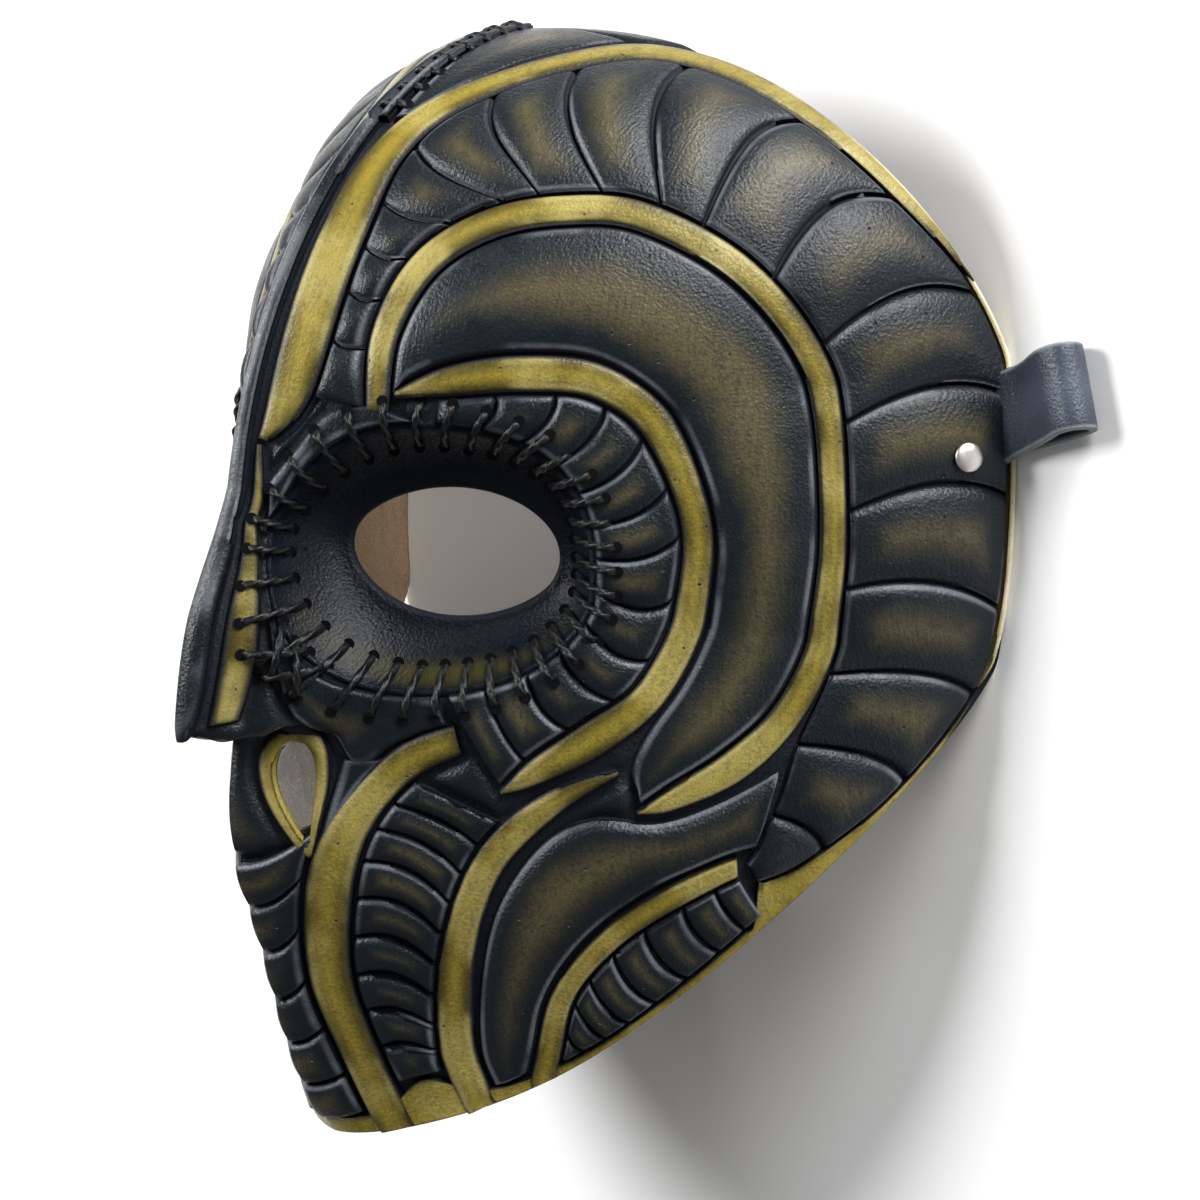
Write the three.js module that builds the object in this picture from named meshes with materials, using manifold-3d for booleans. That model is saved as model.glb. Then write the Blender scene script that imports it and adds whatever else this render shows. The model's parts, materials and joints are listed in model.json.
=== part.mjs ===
// A moulded and tooled leather mask with ribbed ram's horns, lying face up on its rim.
// Millimetres. +Z comes out of the face, +Y goes to the forehead, +X to the wearer's left.
// The origin is the middle of the strap's underside, between the two rivets.
import * as THREE from 'three';
import { mergeVertices } from 'three/addons/utils/BufferGeometryUtils.js';
import Module from 'manifold-3d';

const wasm = await Module();
wasm.setup();

// The last that the wet leather is moulded on
const HALF_WIDTH = 114;
const TOP_REACH = 117;
const CHIN_REACH = 146;
const BRIDGE_Y = -24;
const BRIDGE_Z = 137;
const TOP_RIM_Z = 52;
const JAW_RIM_Z = 78;
const CHIN_TIP_Z = 20;
const REST_TOP = 0.38;
const REST_JAW = 0.21;
const KEEL_DROP = 16;
const KEEL_WIDTH = 20;
const NOSE_TIP_Y = -65;
const NOSE_FALL = 5;
const NOSE_HOOK = 7;
const NOSE_HEIGHT = 15;
const INNER_NOSE = 0.4;
const MOUTH_Y = -96;

// The flat pattern: how far it reaches from the bridge, at the side and at forehead and chin
const PATTERN_SIDE = 185;
const PATTERN_END = 157;
const OUTER_RINGS = [0.125, 0.212, 0.246, 0.375, 0.5, 0.625, 0.75, 0.875, 1];
const INNER_RINGS = [0.16, 0.25, 0.36, 0.52, 0.68, 0.84, 1];

// Leather, seams and fittings
const LEATHER = 3.2;
const SOCKET_LEATHER = 2.4;
const SEAM_GAP = 0.5;
const BAND_LIFT = 1.5;
const RIB_LIFT = 2.0;
const LACE = 2.0;
const LACE_REACH = 4.6;
const STITCHES = 24;
const LACE_TURN = 0.13;
const LACE_RISE = 0.5;
const STRAP_WIDTH = 20;
const STRAP_THICK = 2.2;
const RIVET_CAP = 3.4;
const RIVET_POST = 1.3;
const CLEARANCE = 0.3;
const SLIVER = 0.06;

// The eye: seam ring and opening, in pattern millimetres
const EYE = { p: 43, q: -7, seamP: 35.5, seamQ: 32, openP: 23.5, openQ: 17, depth: 12 };

// Strokes of the tooling on the wearer's left half, each point [p, q, half width]
const HORN = [
  [13.5, 24, 1.6], [15.5, 42, 3.6], [18, 57, 6.5], [21, 72, 11.5], [28, 86, 16], [40, 95, 21],
  [56, 103, 24], [77, 106, 26], [99, 99, 26], [122, 84, 24.5], [139, 63, 23.5], [151, 37, 23],
  [158, 7, 22.5], [155, -24, 21.5], [149, -51, 20], [137, -75, 17], [122, -92, 10], [110, -99, 3],
];
const OUTER_BAND = [
  [3.5, 16, 1.2], [7, 28, 4.2], [7.4, 60, 4.8], [7.5, 82, 4.4], [13, 99, 4.6], [30, 119, 5],
  [50, 137, 5.4], [76, 141, 5], [108, 131, 3.6], [136, 110, 2.2], [152, 92, 0.8],
];
const TIP_BAND = [[141, -98, 0.8], [129, -107, 2.8], [116, -117, 3.2], [92, -131, 2.4], [64, -142, 0.8]];
const INNER_BAND = [
  [24, 25, 2.6], [22, 40, 3], [26, 56, 3.6], [36, 67, 3.8], [50, 74, 3.8], [67, 77.5, 3.8],
  [91, 72, 3.8], [111, 57, 3.6], [125, 34, 3.4], [132, 4, 3.4], [129, -27, 3.8], [121, -50, 4.4],
  [108, -64, 5], [92, -71, 3.4], [83, -73, 0.8],
];
const ORBIT_BAND = [
  [27, 29, 1], [38, 34, 3.2], [53, 38.5, 4], [69, 40, 4], [84, 33, 3.8], [96, 18, 3.6],
  [101.5, 0, 3.6], [98, -24, 3.9], [89, -43, 4.2], [75, -53, 4.6], [60, -59, 3.2], [51, -62, 0.8],
];
const NOSE_BAND = [[3, 15, 0.8], [4.2, 2, 1.5], [5.2, -12, 1.9], [5.8, -24, 2.2], [4.6, -32.5, 1.8]];
const CHEEK_INNER = [
  [60, -46, 1], [48, -48.5, 3], [29, -51.5, 4], [18, -60, 4.2], [12, -75, 4.2], [9.5, -94, 4],
  [12, -116, 4], [16, -143, 4.6],
];
const CHEEK_OUTER = [
  [80, -62, 1], [62, -67, 3.4], [44, -77, 4.2], [34, -95, 4.2], [31.5, -121, 4], [37, -149, 3.8],
];
const JAW_BAND = [
  [123, -101, 1], [112, -95, 3.4], [95, -97, 4.2], [72, -104, 4.2], [57, -117, 4], [53, -142, 4],
];
const NOSE_KEEL = [[0, 18, 1.2], [0, 0, 1.9], [0, -16, 2.6], [0, -27, 2.8], [0, -34, 1]];
const VENT = { p: 9.4, q: -52, halfP: 4.2, halfQ: 10, frame: 2.8 };

const HORN_RIBS = 16;
const ORBIT_RIBS = 11;
const CHEEK_RIBS = 7;
const JAW_RIBS = 6;
const CHIN_LAMES = 4;

const smooth = (t) => THREE.MathUtils.smoothstep(t, 0, 1);
const bell = (distance, width) => Math.exp(-((distance / width) ** 2));

// Place on the last of a point of the flat pattern, measured from the bridge
function last(p, q, nose = NOSE_HEIGHT) {
  const angle = Math.atan2(q, p);
  const across = Math.abs(Math.cos(angle));
  const along = Math.abs(Math.sin(angle));
  const upper = q > 0;
  const square = upper ? 2.5 : 1.75;
  const reach = upper ? TOP_REACH : CHIN_REACH;
  const radius = ((across / HALF_WIDTH) ** square + (along / reach) ** square) ** (-1 / square);
  const rest = upper ? REST_TOP : REST_JAW;
  const rise = Math.max(0, (along - rest) / (1 - rest));
  const rim = upper ? TOP_RIM_Z * rise ** 1.3 : JAW_RIM_Z * rise ** 1.3 + CHIN_TIP_Z * along ** 30;
  const round = upper ? 0.66 + 0.3 * along ** 2 : 0.66;
  const pattern = PATTERN_END + (PATTERN_SIDE - PATTERN_END) * across ** 2;

  const r = Math.hypot(p, q) / pattern;
  const quarter = (r * Math.PI) / 2;
  const out = radius * ((1 - round) * r + round * Math.sin(quarter));
  const height = (1 - round) * (1 - r) + round * Math.cos(quarter);
  const x = out * Math.cos(angle);
  const y = BRIDGE_Y + out * Math.sin(angle);
  let z = rim + (BRIDGE_Z - rim) * height;

  const side = Math.abs(x);
  z -= KEEL_DROP * (1 - Math.exp(-side / KEEL_WIDTH)) * Math.max(0, 1 - r ** 5);
  const down = THREE.MathUtils.clamp((BRIDGE_Y + 8 - y) / (BRIDGE_Y + 8 - NOSE_TIP_Y), 0, 1);
  const under = 1 - smooth((NOSE_TIP_Y - 2 - y) / NOSE_FALL);
  const ridge = smooth(down) ** 0.8 * under * bell(side, 7 + 11 * down * (1 - 0.4 * down ** 4));
  const hook = (NOSE_HOOK * nose * ridge * smooth(2.5 * down - 1.5)) / NOSE_HEIGHT;
  z += nose * ridge;
  z += 5 * bell(y - MOUTH_Y, 20) * bell(side, 26);
  return new THREE.Vector3(x, y - hook, z);
}

function outward(p, q, step = 1.2) {
  const acrossTangent = last(p + step, q).sub(last(p - step, q));
  const alongTangent = last(p, q + step).sub(last(p, q - step));
  return acrossTangent.cross(alongTangent).normalize();
}

const lifted = (p, q, height) => last(p, q).addScaledVector(outward(p, q), height);

// The pattern's edge in a direction, as a share of the way out from the bridge
function onPattern(angle, share) {
  const reach = PATTERN_END + (PATTERN_SIDE - PATTERN_END) * Math.cos(angle) ** 2;
  return [share * reach * Math.cos(angle), share * reach * Math.sin(angle)];
}

// Solids: a closed triangle list goes to a manifold, and back to a geometry
function solid(points, faces) {
  const volume = faces.reduce((sum, [a, b, c]) => {
    const cross = new THREE.Vector3().crossVectors(points[b], points[c]);
    return sum + points[a].dot(cross);
  }, 0);
  const turned = volume < 0 ? faces.map(([a, b, c]) => [a, c, b]) : faces;
  const vertProperties = new Float32Array(points.flatMap((v) => [v.x, v.y, v.z]));
  const triVerts = new Uint32Array(turned.flat());
  return new wasm.Manifold(new wasm.Mesh({ numProp: 3, vertProperties, triVerts }));
}

function solidOf(geometry) {
  const bare = geometry.clone();
  bare.deleteAttribute('normal');
  bare.deleteAttribute('uv');
  const merged = mergeVertices(bare, 1e-4);
  const vertProperties = new Float32Array(merged.attributes.position.array);
  const triVerts = new Uint32Array(merged.index.array);
  return new wasm.Manifold(new wasm.Mesh({ numProp: 3, vertProperties, triVerts }));
}

function geometryOf(manifold) {
  const mesh = manifold.getMesh();
  const geometry = new THREE.BufferGeometry();
  const places = Array.from({ length: mesh.numVert }, (_, i) =>
    Array.from(mesh.vertProperties.slice(i * mesh.numProp, i * mesh.numProp + 3)));
  geometry.setAttribute('position', new THREE.Float32BufferAttribute(places.flat(), 3));
  geometry.setIndex(Array.from(mesh.triVerts));
  return geometry;
}

const quad = (a, b, c, d) => [[a, b, c], [a, c, d]];

// A block whose top follows place(i, j) and whose underside is sunk into the leather.
// A closed block runs round a ring, so its last row is its first.
function block(rows, columns, place, closed = false, sunk = -1.6) {
  const points = [];
  const rowCount = closed ? rows : rows + 1;
  for (let i = 0; i < rowCount; i += 1) {
    for (let j = 0; j <= columns; j += 1) {
      const [p, q, height] = place(i, j);
      points.push(lifted(p, q, height));
    }
    const [leftP, leftQ] = place(i, 0);
    const [rightP, rightQ] = place(i, columns);
    points.push(lifted(leftP, leftQ, sunk), lifted(rightP, rightQ, sunk));
  }
  const width = columns + 3;
  const at = (i, j) => (i % rowCount) * width + j;
  const faces = [];
  for (let i = 0; i < rows; i += 1) {
    for (let j = 0; j < columns; j += 1) {
      faces.push(...quad(at(i, j), at(i, j + 1), at(i + 1, j + 1), at(i + 1, j)));
    }
    faces.push(...quad(at(i, columns), at(i, columns + 2), at(i + 1, columns + 2), at(i + 1, columns)));
    faces.push(...quad(at(i, columns + 2), at(i, columns + 1), at(i + 1, columns + 1), at(i + 1, columns + 2)));
    faces.push(...quad(at(i, columns + 1), at(i, 0), at(i + 1, 0), at(i + 1, columns + 1)));
  }
  if (!closed) {
    const cap = (i, turn) => {
      const ring = [...Array(columns + 1).keys()].map((j) => at(i, j));
      ring.push(at(i, columns + 2), at(i, columns + 1));
      for (let k = 1; k < ring.length - 1; k += 1) {
        faces.push(turn ? [ring[0], ring[k + 1], ring[k]] : [ring[0], ring[k], ring[k + 1]]);
      }
    };
    cap(0, true);
    cap(rows, false);
  }
  return solid(points, faces);
}

const curveOf = (points) =>
  new THREE.CatmullRomCurve3(points.map(([p, q, half]) => new THREE.Vector3(p, q, half)));

// A point of a stroke: t runs along it, side runs from -1 to 1 across it
function onStroke(curve, t, side) {
  const centre = curve.getPoint(t);
  const ahead = curve.getTangent(t);
  const length = Math.hypot(ahead.x, ahead.y);
  return [
    centre.x - (ahead.y / length) * centre.z * side,
    centre.y + (ahead.x / length) * centre.z * side,
  ];
}

// A raised band with a rounded top
function band(points, rows, lift = BAND_LIFT, ends = [0, 1]) {
  const curve = curveOf(points);
  const sides = [-1, 0, 1];
  const heights = [0.6, 1, 0.6];
  return block(rows, 2, (i, j) => {
    const t = THREE.MathUtils.lerp(ends[0], ends[1], i / rows);
    return [...onStroke(curve, t, sides[j]), lift * heights[j]];
  });
}

// Ribs between two edges: each rib starts in a cut line, swells, and ends at the next cut
function ribs(count, edgePoint, sides, crown, lift = RIB_LIFT, bow = 0) {
  const steps = [0, 0.3];
  const swell = [0.1, 1];
  const rows = count * steps.length;
  return block(rows, sides.length - 1, (i, j) => {
    const rib = Math.floor(i / steps.length);
    const phase = i % steps.length;
    const bend = bow * (1 - sides[j] ** 2) * Math.sin((Math.PI * i) / rows);
    const t = (rib + steps[phase] + bend) / count;
    const height = lift * swell[phase] * crown[j];
    return [...edgePoint(Math.min(t, 1), sides[j]), height];
  });
}

function between(inner, outer, innerGap, outerGap) {
  const innerCurve = curveOf(inner);
  const outerCurve = curveOf(outer);
  return (t, side, innerRange = [0, 1], outerRange = [0, 1]) => {
    const a = onStroke(innerCurve, THREE.MathUtils.lerp(...innerRange, t), innerGap);
    const b = onStroke(outerCurve, THREE.MathUtils.lerp(...outerRange, t), outerGap);
    const share = (side + 1) / 2;
    return [a[0] + (b[0] - a[0]) * share, a[1] + (b[1] - a[1]) * share];
  };
}

// The eye's rings lie in the pattern; scale 1 is the seam, and the opening is inside it
function eyeRing(angle, scale) {
  const c = Math.cos(angle);
  const s = Math.sin(angle);
  const square = (Math.abs(c) ** 2.3 + Math.abs(s) ** 2.3) ** (-1 / 2.3);
  return [EYE.p + EYE.seamP * scale * square * c, EYE.q + EYE.seamQ * scale * square * s];
}

function ribsLeft() {
  const horn = curveOf(HORN);
  const hornRibs = ribs(HORN_RIBS, (t, side) => onStroke(horn, 0.02 + 0.96 * t, side * 0.97),
    [-1, -0.4, 0.4, 1], [0.5, 1.4, 1.4, 0.5], 2.2, -0.28);
  const orbit = curveOf(ORBIT_BAND);
  const orbitRibs = ribs(ORBIT_RIBS, (t, side) => {
    const angle = THREE.MathUtils.lerp(1.75, -1.6, t);
    const inner = eyeRing(angle, 1.03);
    const outer = onStroke(orbit, THREE.MathUtils.lerp(0.1, 0.96, t), -1.25);
    const share = (side + 1) / 2;
    return [inner[0] + (outer[0] - inner[0]) * share, inner[1] + (outer[1] - inner[1]) * share];
  }, [-1, 0, 1], [0.5, 1, 0.8], 1.6);
  const cheekRow = between(CHEEK_INNER, CHEEK_OUTER, 1.3, -1.3);
  const cheekRibs = ribs(CHEEK_RIBS, (t, side) => cheekRow(t, side, [0.38, 0.93], [0.24, 0.9]),
    [-1, 0, 1], [0.6, 1.3, 0.6]);
  const jaw = curveOf(JAW_BAND);
  const jawRibs = ribs(JAW_RIBS, (t, side) => {
    const inner = onStroke(jaw, THREE.MathUtils.lerp(0.16, 0.9, t), 1.35);
    const outer = onPattern(Math.atan2(inner[1] - 16, inner[0] + 8), 0.955);
    const share = (side + 1) / 2;
    return [inner[0] + (outer[0] - inner[0]) * share, inner[1] + (outer[1] - inner[1]) * share];
  }, [-1, 0, 1], [0.5, 1.1, 0.5]);
  return [hornRibs, orbitRibs, cheekRibs, jawRibs];
}

function bandsLeft() {
  return [
    band(OUTER_BAND, 15), band(TIP_BAND, 5), band(INNER_BAND, 14), band(ORBIT_BAND, 11),
    band(NOSE_BAND, 4, 1.2), band(CHEEK_INNER, 8, BAND_LIFT, [0.215, 1]), band(CHEEK_OUTER, 6),
    band(JAW_BAND, 6, BAND_LIFT, [0.26, 1]),
  ];
}

// The breathing hole beside the nose: wide above, pointed below
function ventRing(angle, grow) {
  const s = Math.sin(angle);
  const width = (VENT.halfP + grow) * (0.62 + 0.38 * s);
  return [VENT.p + width * Math.cos(angle) - 0.12 * (VENT.halfQ * s), VENT.q + (VENT.halfQ + grow) * s];
}

function ventFrame() {
  const across = [-1, VENT.frame];
  return block(10, 1, (i, j) => [...ventRing(((i + 0.5) / 10) * Math.PI * 2, across[j]), 1.3 - 0.4 * j], true);
}

// A plug through the leather, with the outline ring(angle) in the pattern
function plug(ring, count, axis, reach) {
  const points = [];
  for (let i = 0; i < count; i += 1) {
    const [p, q] = ring((i / count) * Math.PI * 2);
    points.push(last(p, q).addScaledVector(axis, reach), last(p, q).addScaledVector(axis, -reach));
  }
  const top = points.length;
  const centre = (offset) => points.filter((_, i) => i < top && i % 2 === offset)
    .reduce((sum, v) => sum.add(v), new THREE.Vector3()).divideScalar(count);
  points.push(centre(0), centre(1));
  const faces = [];
  for (let i = 0; i < count; i += 1) {
    const a = 2 * i;
    const b = 2 * ((i + 1) % count);
    faces.push(...quad(a, b, b + 1, a + 1), [top, b, a], [top + 1, a + 1, b + 1]);
  }
  return solid(points, faces);
}

const mirrored = (manifold) => {
  const geometry = geometryOf(manifold);
  geometry.scale(-1, 1, 1);
  const index = geometry.index.array;
  for (let i = 0; i < index.length; i += 3) [index[i], index[i + 1]] = [index[i + 1], index[i]];
  return solidOf(geometry);
};

// The plain moulded shell, before tooling
function bareShell(turns = 36) {
  const rings = [OUTER_RINGS.length, INNER_RINGS.length];
  const points = [];
  const inward = (v, share, angle) => {
    const flare = share;
    const depth = 1 - share ** 6;
    const way = new THREE.Vector3(flare * Math.cos(angle), flare * Math.sin(angle), depth).normalize();
    return v.addScaledVector(way, -LEATHER);
  };
  rings.forEach((count, inside) => {
    points.push(inside ? inward(last(0, 0), 0, 0) : last(0, 0));
    for (let k = 1; k <= count; k += 1) {
      for (let i = 0; i < turns; i += 1) {
        const angle = (i / turns) * Math.PI * 2;
        const share = (inside ? INNER_RINGS : OUTER_RINGS)[k - 1];
        const [p, q] = onPattern(angle, share);
        points.push(inside ? inward(last(p, q, NOSE_HEIGHT * INNER_NOSE), share, angle) : last(p, q));
      }
    }
  });
  const start = [0, 1 + rings[0] * turns];
  const at = (inside, k, i) => start[inside] + (k === 0 ? 0 : 1 + (k - 1) * turns + (i % turns));
  const faces = [];
  for (let i = 0; i < turns; i += 1) {
    rings.forEach((count, inside) => {
      for (let k = 0; k < count; k += 1) {
        const [a, b] = inside ? [i + 1, i] : [i, i + 1];
        const patch = quad(at(inside, k, a), at(inside, k + 1, a), at(inside, k + 1, b), at(inside, k, b));
        faces.push(...(k === 0 ? [patch[0]] : patch));
      }
    });
    const [outer, inner] = rings;
    faces.push(...quad(at(0, outer, i), at(1, inner, i), at(1, inner, i + 1), at(0, outer, i + 1)));
  }
  return solid(points, faces);
}

const EYE_AXIS = outward(EYE.p, EYE.q);
const RIVET_PATTERN = [161.5, 34];
const RIVET_PLACE = last(...RIVET_PATTERN);
const RIVET_AXIS = outward(...RIVET_PATTERN);

function turnedTo(axis, place) {
  const matrix = new THREE.Matrix4();
  const turn = new THREE.Quaternion().setFromUnitVectors(new THREE.Vector3(0, 1, 0), axis);
  return matrix.compose(place, turn, new THREE.Vector3(1, 1, 1));
}

function rivetHole(radius) {
  return solidOf(new THREE.CylinderGeometry(radius, radius, 30, 12)
    .applyMatrix4(turnedTo(RIVET_AXIS, RIVET_PLACE)));
}

function maskShell() {
  const left = [...bandsLeft(), ...ribsLeft(), ventFrame()];
  let shell = bareShell();
  for (const piece of left) shell = shell.add(piece).add(mirrored(piece));
  shell = shell.add(band(NOSE_KEEL, 6, 2.2));
  for (let i = 0; i < CHIN_LAMES; i += 1) {
    const top = -74 - i * 16;
    const lame = [[-6.5, top + 1, 3], [0, top - 6, 4.5], [6.5, top + 1, 3]];
    shell = shell.add(band(lame, 4, 1.4));
  }
  const eye = plug((angle) => eyeRing(angle, 1), 26, EYE_AXIS, 14);
  const ventAxis = new THREE.Vector3(0.35, -0.2, 1).normalize();
  const vent = plug((angle) => ventRing(angle, 0), 10, ventAxis, 16);
  const dart = plug((angle) => [0.4 * Math.cos(angle), 121 + 38 * Math.sin(angle)], 8, outward(0, 125), 12);
  shell = shell.subtract(eye).subtract(mirrored(eye)).subtract(vent).subtract(mirrored(vent)).subtract(dart);
  const hole = rivetHole(RIVET_POST + CLEARANCE);
  shell = shell.subtract(hole).subtract(mirrored(hole));
  const passage = new THREE.BoxGeometry(40, STRAP_WIDTH + 12, 11).translate(HALF_WIDTH, 8, 0);
  const floor = new THREE.BoxGeometry(400, 400, 20).translate(0, 0, -10);
  return shell.subtract(solidOf(passage)).subtract(solidOf(floor)).asOriginal().simplify(SLIVER);
}

// The socket: a dished collar of leather from the seam in to the eye opening
function eyeSocket(turns = 26) {
  const levels = [[0, 0.9], [0.4, 6.6], [1, EYE.depth]];
  const points = [];
  const rim = 1 - SEAM_GAP / EYE.seamQ;
  for (const thick of [0, SOCKET_LEATHER]) {
    for (const [share, depth] of levels) {
      for (let i = 0; i < turns; i += 1) {
        const angle = (i / turns) * Math.PI * 2;
        const [p, q] = eyeRing(angle, rim);
        const open = [EYE.p + 2 + EYE.openP * Math.cos(angle), EYE.q + EYE.openQ * Math.sin(angle)];
        const place = last(p + (open[0] - p) * share, q + (open[1] - q) * share);
        points.push(place.addScaledVector(EYE_AXIS, -depth - thick));
      }
    }
  }
  const half = levels.length * turns;
  const at = (back, k, i) => (back ? half : 0) + k * turns + (i % turns);
  const faces = [];
  for (let i = 0; i < turns; i += 1) {
    for (let k = 0; k < levels.length - 1; k += 1) {
      faces.push(...quad(at(false, k, i), at(false, k, i + 1), at(false, k + 1, i + 1), at(false, k + 1, i)));
      faces.push(...quad(at(true, k, i), at(true, k + 1, i), at(true, k + 1, i + 1), at(true, k, i + 1)));
    }
    const end = levels.length - 1;
    faces.push(...quad(at(false, 0, i), at(true, 0, i), at(true, 0, i + 1), at(false, 0, i + 1)));
    faces.push(...quad(at(false, end, i), at(false, end, i + 1), at(true, end, i + 1), at(true, end, i)));
  }
  return solid(points, faces);
}

// A lace as a closed tube of triangular section through its points
function lace(points, closed) {
  const sides = 3;
  const count = points.length;
  const places = [];
  points.forEach(({ place, up }, i) => {
    const before = points[closed ? (i + count - 1) % count : Math.max(0, i - 1)].place;
    const after = points[closed ? (i + 1) % count : Math.min(count - 1, i + 1)].place;
    const along = new THREE.Vector3().subVectors(after, before).normalize();
    const side = new THREE.Vector3().crossVectors(along, up).normalize();
    const rise = new THREE.Vector3().crossVectors(side, along).normalize();
    for (let k = 0; k < sides; k += 1) {
      const angle = (k / sides) * Math.PI * 2 + Math.PI / 2;
      places.push(place.clone().addScaledVector(side, (Math.cos(angle) * LACE) / 2)
        .addScaledVector(rise, (Math.sin(angle) * LACE) / 2));
    }
  });
  const at = (i, k) => (i % count) * sides + (k % sides);
  const faces = [];
  for (let i = 0; i < (closed ? count : count - 1); i += 1) {
    for (let k = 0; k < sides; k += 1) faces.push(...quad(at(i, k), at(i + 1, k), at(i + 1, k + 1), at(i, k + 1)));
  }
  if (!closed) faces.push([at(0, 0), at(0, 1), at(0, 2)], [at(count - 1, 0), at(count - 1, 2), at(count - 1, 1)]);
  return solid(places, faces);
}

function eyeLace() {
  const points = [];
  const reach = LACE_REACH / EYE.seamQ;
  const stitch = (Math.PI * 2) / STITCHES;
  for (let i = 0; i < STITCHES; i += 1) {
    for (const share of [-LACE_TURN, LACE_TURN]) {
      const outer = eyeRing((i + share) * stitch, 1 + reach);
      points.push({ place: lifted(...outer, RIB_LIFT + LACE + LACE_RISE), up: outward(...outer) });
    }
    for (const share of [0.5 - LACE_TURN, 0.5 + LACE_TURN]) {
      const inner = eyeRing((i + share) * stitch, 1 - reach);
      points.push({ place: last(...inner).addScaledVector(EYE_AXIS, LACE_RISE / 5), up: EYE_AXIS });
    }
  }
  return lace(points, true);
}

function foreheadLace() {
  const points = [];
  for (let i = 0; i < 8; i += 1) {
    const q = 92 + i * 8;
    for (const [p, forward] of [[-3.6, 0], [3.6, 2]]) {
      points.push({ place: lifted(p, q + forward, LACE + 0.8), up: outward(0, q + forward) });
    }
  }
  return lace(points, false);
}

// The strap: one band from rivet to rivet, run under the left rim, out in a loop and back
// across the hollow. Each point is [x, y, z] of its middle line, then the turn of its bends.
const SQUARE_BEND = Math.PI / 2;
const LOOP_BEND = SQUARE_BEND + 0.32;
const EASE_BEND = SQUARE_BEND + 0.16;
const WALL_BEND = 0.09;
const LEFT_BEND = SQUARE_BEND + WALL_BEND;
const RIGHT_BEND = SQUARE_BEND - WALL_BEND;
const STRAP_PATH = [
  [99.3, -4, 20.5, LEFT_BEND], [102.1, -0.4, 13.5, LEFT_BEND], [104.2, 2.6, 8, LEFT_BEND],
  [106, 5, 4.7, LEFT_BEND], [110, 7.6, 3.7, SQUARE_BEND], [116, 10, 3.9, SQUARE_BEND],
  [121, 11.9, 5.2, EASE_BEND], [126, 13.7, 7.6, LOOP_BEND], [130.6, 15.3, 9.6, LOOP_BEND],
  [134.6, 16.5, 9.3, LOOP_BEND], [136.6, 16.9, 6, LOOP_BEND], [134.6, 16.2, 2.4, LOOP_BEND],
  [129, 14.6, 1.1, LOOP_BEND], [121, 12.3, 1.1, EASE_BEND], [112, 9.8, 1.1, SQUARE_BEND],
  [90, 4.8, 1.1, SQUARE_BEND], [60, 1, 1.1, SQUARE_BEND], [20, 0, 1.1, SQUARE_BEND],
  [-50, 0, 1.1, SQUARE_BEND], [-90, 0, 1.1, SQUARE_BEND], [-99.4, 0, 1.6, RIGHT_BEND],
  [-103.4, 0, 4.4, RIGHT_BEND], [-104.2, 0, 8, RIGHT_BEND], [-102, 0, 13.5, RIGHT_BEND],
  [-99.2, 0, 20.5, RIGHT_BEND],
];

function strap() {
  const middle = STRAP_PATH.map(([x, y, z]) => new THREE.Vector3(x, y, z));
  const curve = new THREE.CatmullRomCurve3(middle, false, 'centripetal');
  const count = 2 * (STRAP_PATH.length - 1);
  const places = [];
  for (let i = 0; i <= count; i += 1) {
    const at = i / 2;
    const bend = (STRAP_PATH[Math.floor(at)][3] + STRAP_PATH[Math.ceil(at)][3]) / 2;
    const axis = new THREE.Vector3(Math.cos(bend), Math.sin(bend), 0);
    const ahead = curve.getTangent(i / count);
    const face = axis.cross(ahead).normalize();
    const side = new THREE.Vector3().crossVectors(face, ahead);
    for (const [across, through] of [[1, 1], [1, -1], [-1, -1], [-1, 1]]) {
      const corner = curve.getPoint(i / count)
        .addScaledVector(side, (across * STRAP_WIDTH) / 2)
        .addScaledVector(face, (through * STRAP_THICK) / 2);
      places.push(corner.setZ(Math.max(0, corner.z)));
    }
  }
  const faces = [...quad(0, 3, 2, 1), ...quad(4 * count, 4 * count + 1, 4 * count + 2, 4 * count + 3)];
  for (let i = 0; i < 4 * count; i += 4) {
    for (let k = 0; k < 4; k += 1) {
      const next = (k + 1) % 4;
      faces.push(...quad(i + k, i + next, i + 4 + next, i + 4 + k));
    }
  }
  const hole = rivetHole(RIVET_POST + CLEARANCE);
  return solid(places, faces).subtract(hole).subtract(mirrored(hole));
}

// A two-cap rivet, turned in one profile: outer cap, post and inner cap
function rivet() {
  const front = 3.1;
  const back = -(LEATHER + STRAP_THICK + 1.8);
  const profile = [
    [0, back - 1], [RIVET_CAP - 0.6, back - 0.8], [RIVET_CAP, back], [RIVET_POST, back],
    [RIVET_POST, front], [RIVET_CAP, front], [RIVET_CAP - 0.5, front + 0.8], [0, front + 1.2],
  ].map(([radius, height]) => new THREE.Vector2(radius, height));
  const geometry = new THREE.LatheGeometry(profile, 12);
  return solidOf(geometry.applyMatrix4(turnedTo(RIVET_AXIS, RIVET_PLACE)));
}

const tooledLeather = new THREE.MeshStandardMaterial({ color: 0x2c3134, roughness: 0.42, metalness: 0 });
const socketLeather = new THREE.MeshStandardMaterial({ color: 0x161d22, roughness: 0.5, metalness: 0 });
const laceLeather = new THREE.MeshStandardMaterial({ color: 0x17181a, roughness: 0.6, metalness: 0 });
const strapLeather = new THREE.MeshStandardMaterial({ color: 0x343f4b, roughness: 0.6, metalness: 0 });
const nickel = new THREE.MeshStandardMaterial({ color: 0xb0aaa6, roughness: 0.35, metalness: 1 });

const mask = new THREE.Group();
function place(name, manifold, material) {
  const mesh = new THREE.Mesh(geometryOf(manifold), material);
  mesh.name = name;
  mask.add(mesh);
}

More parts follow.
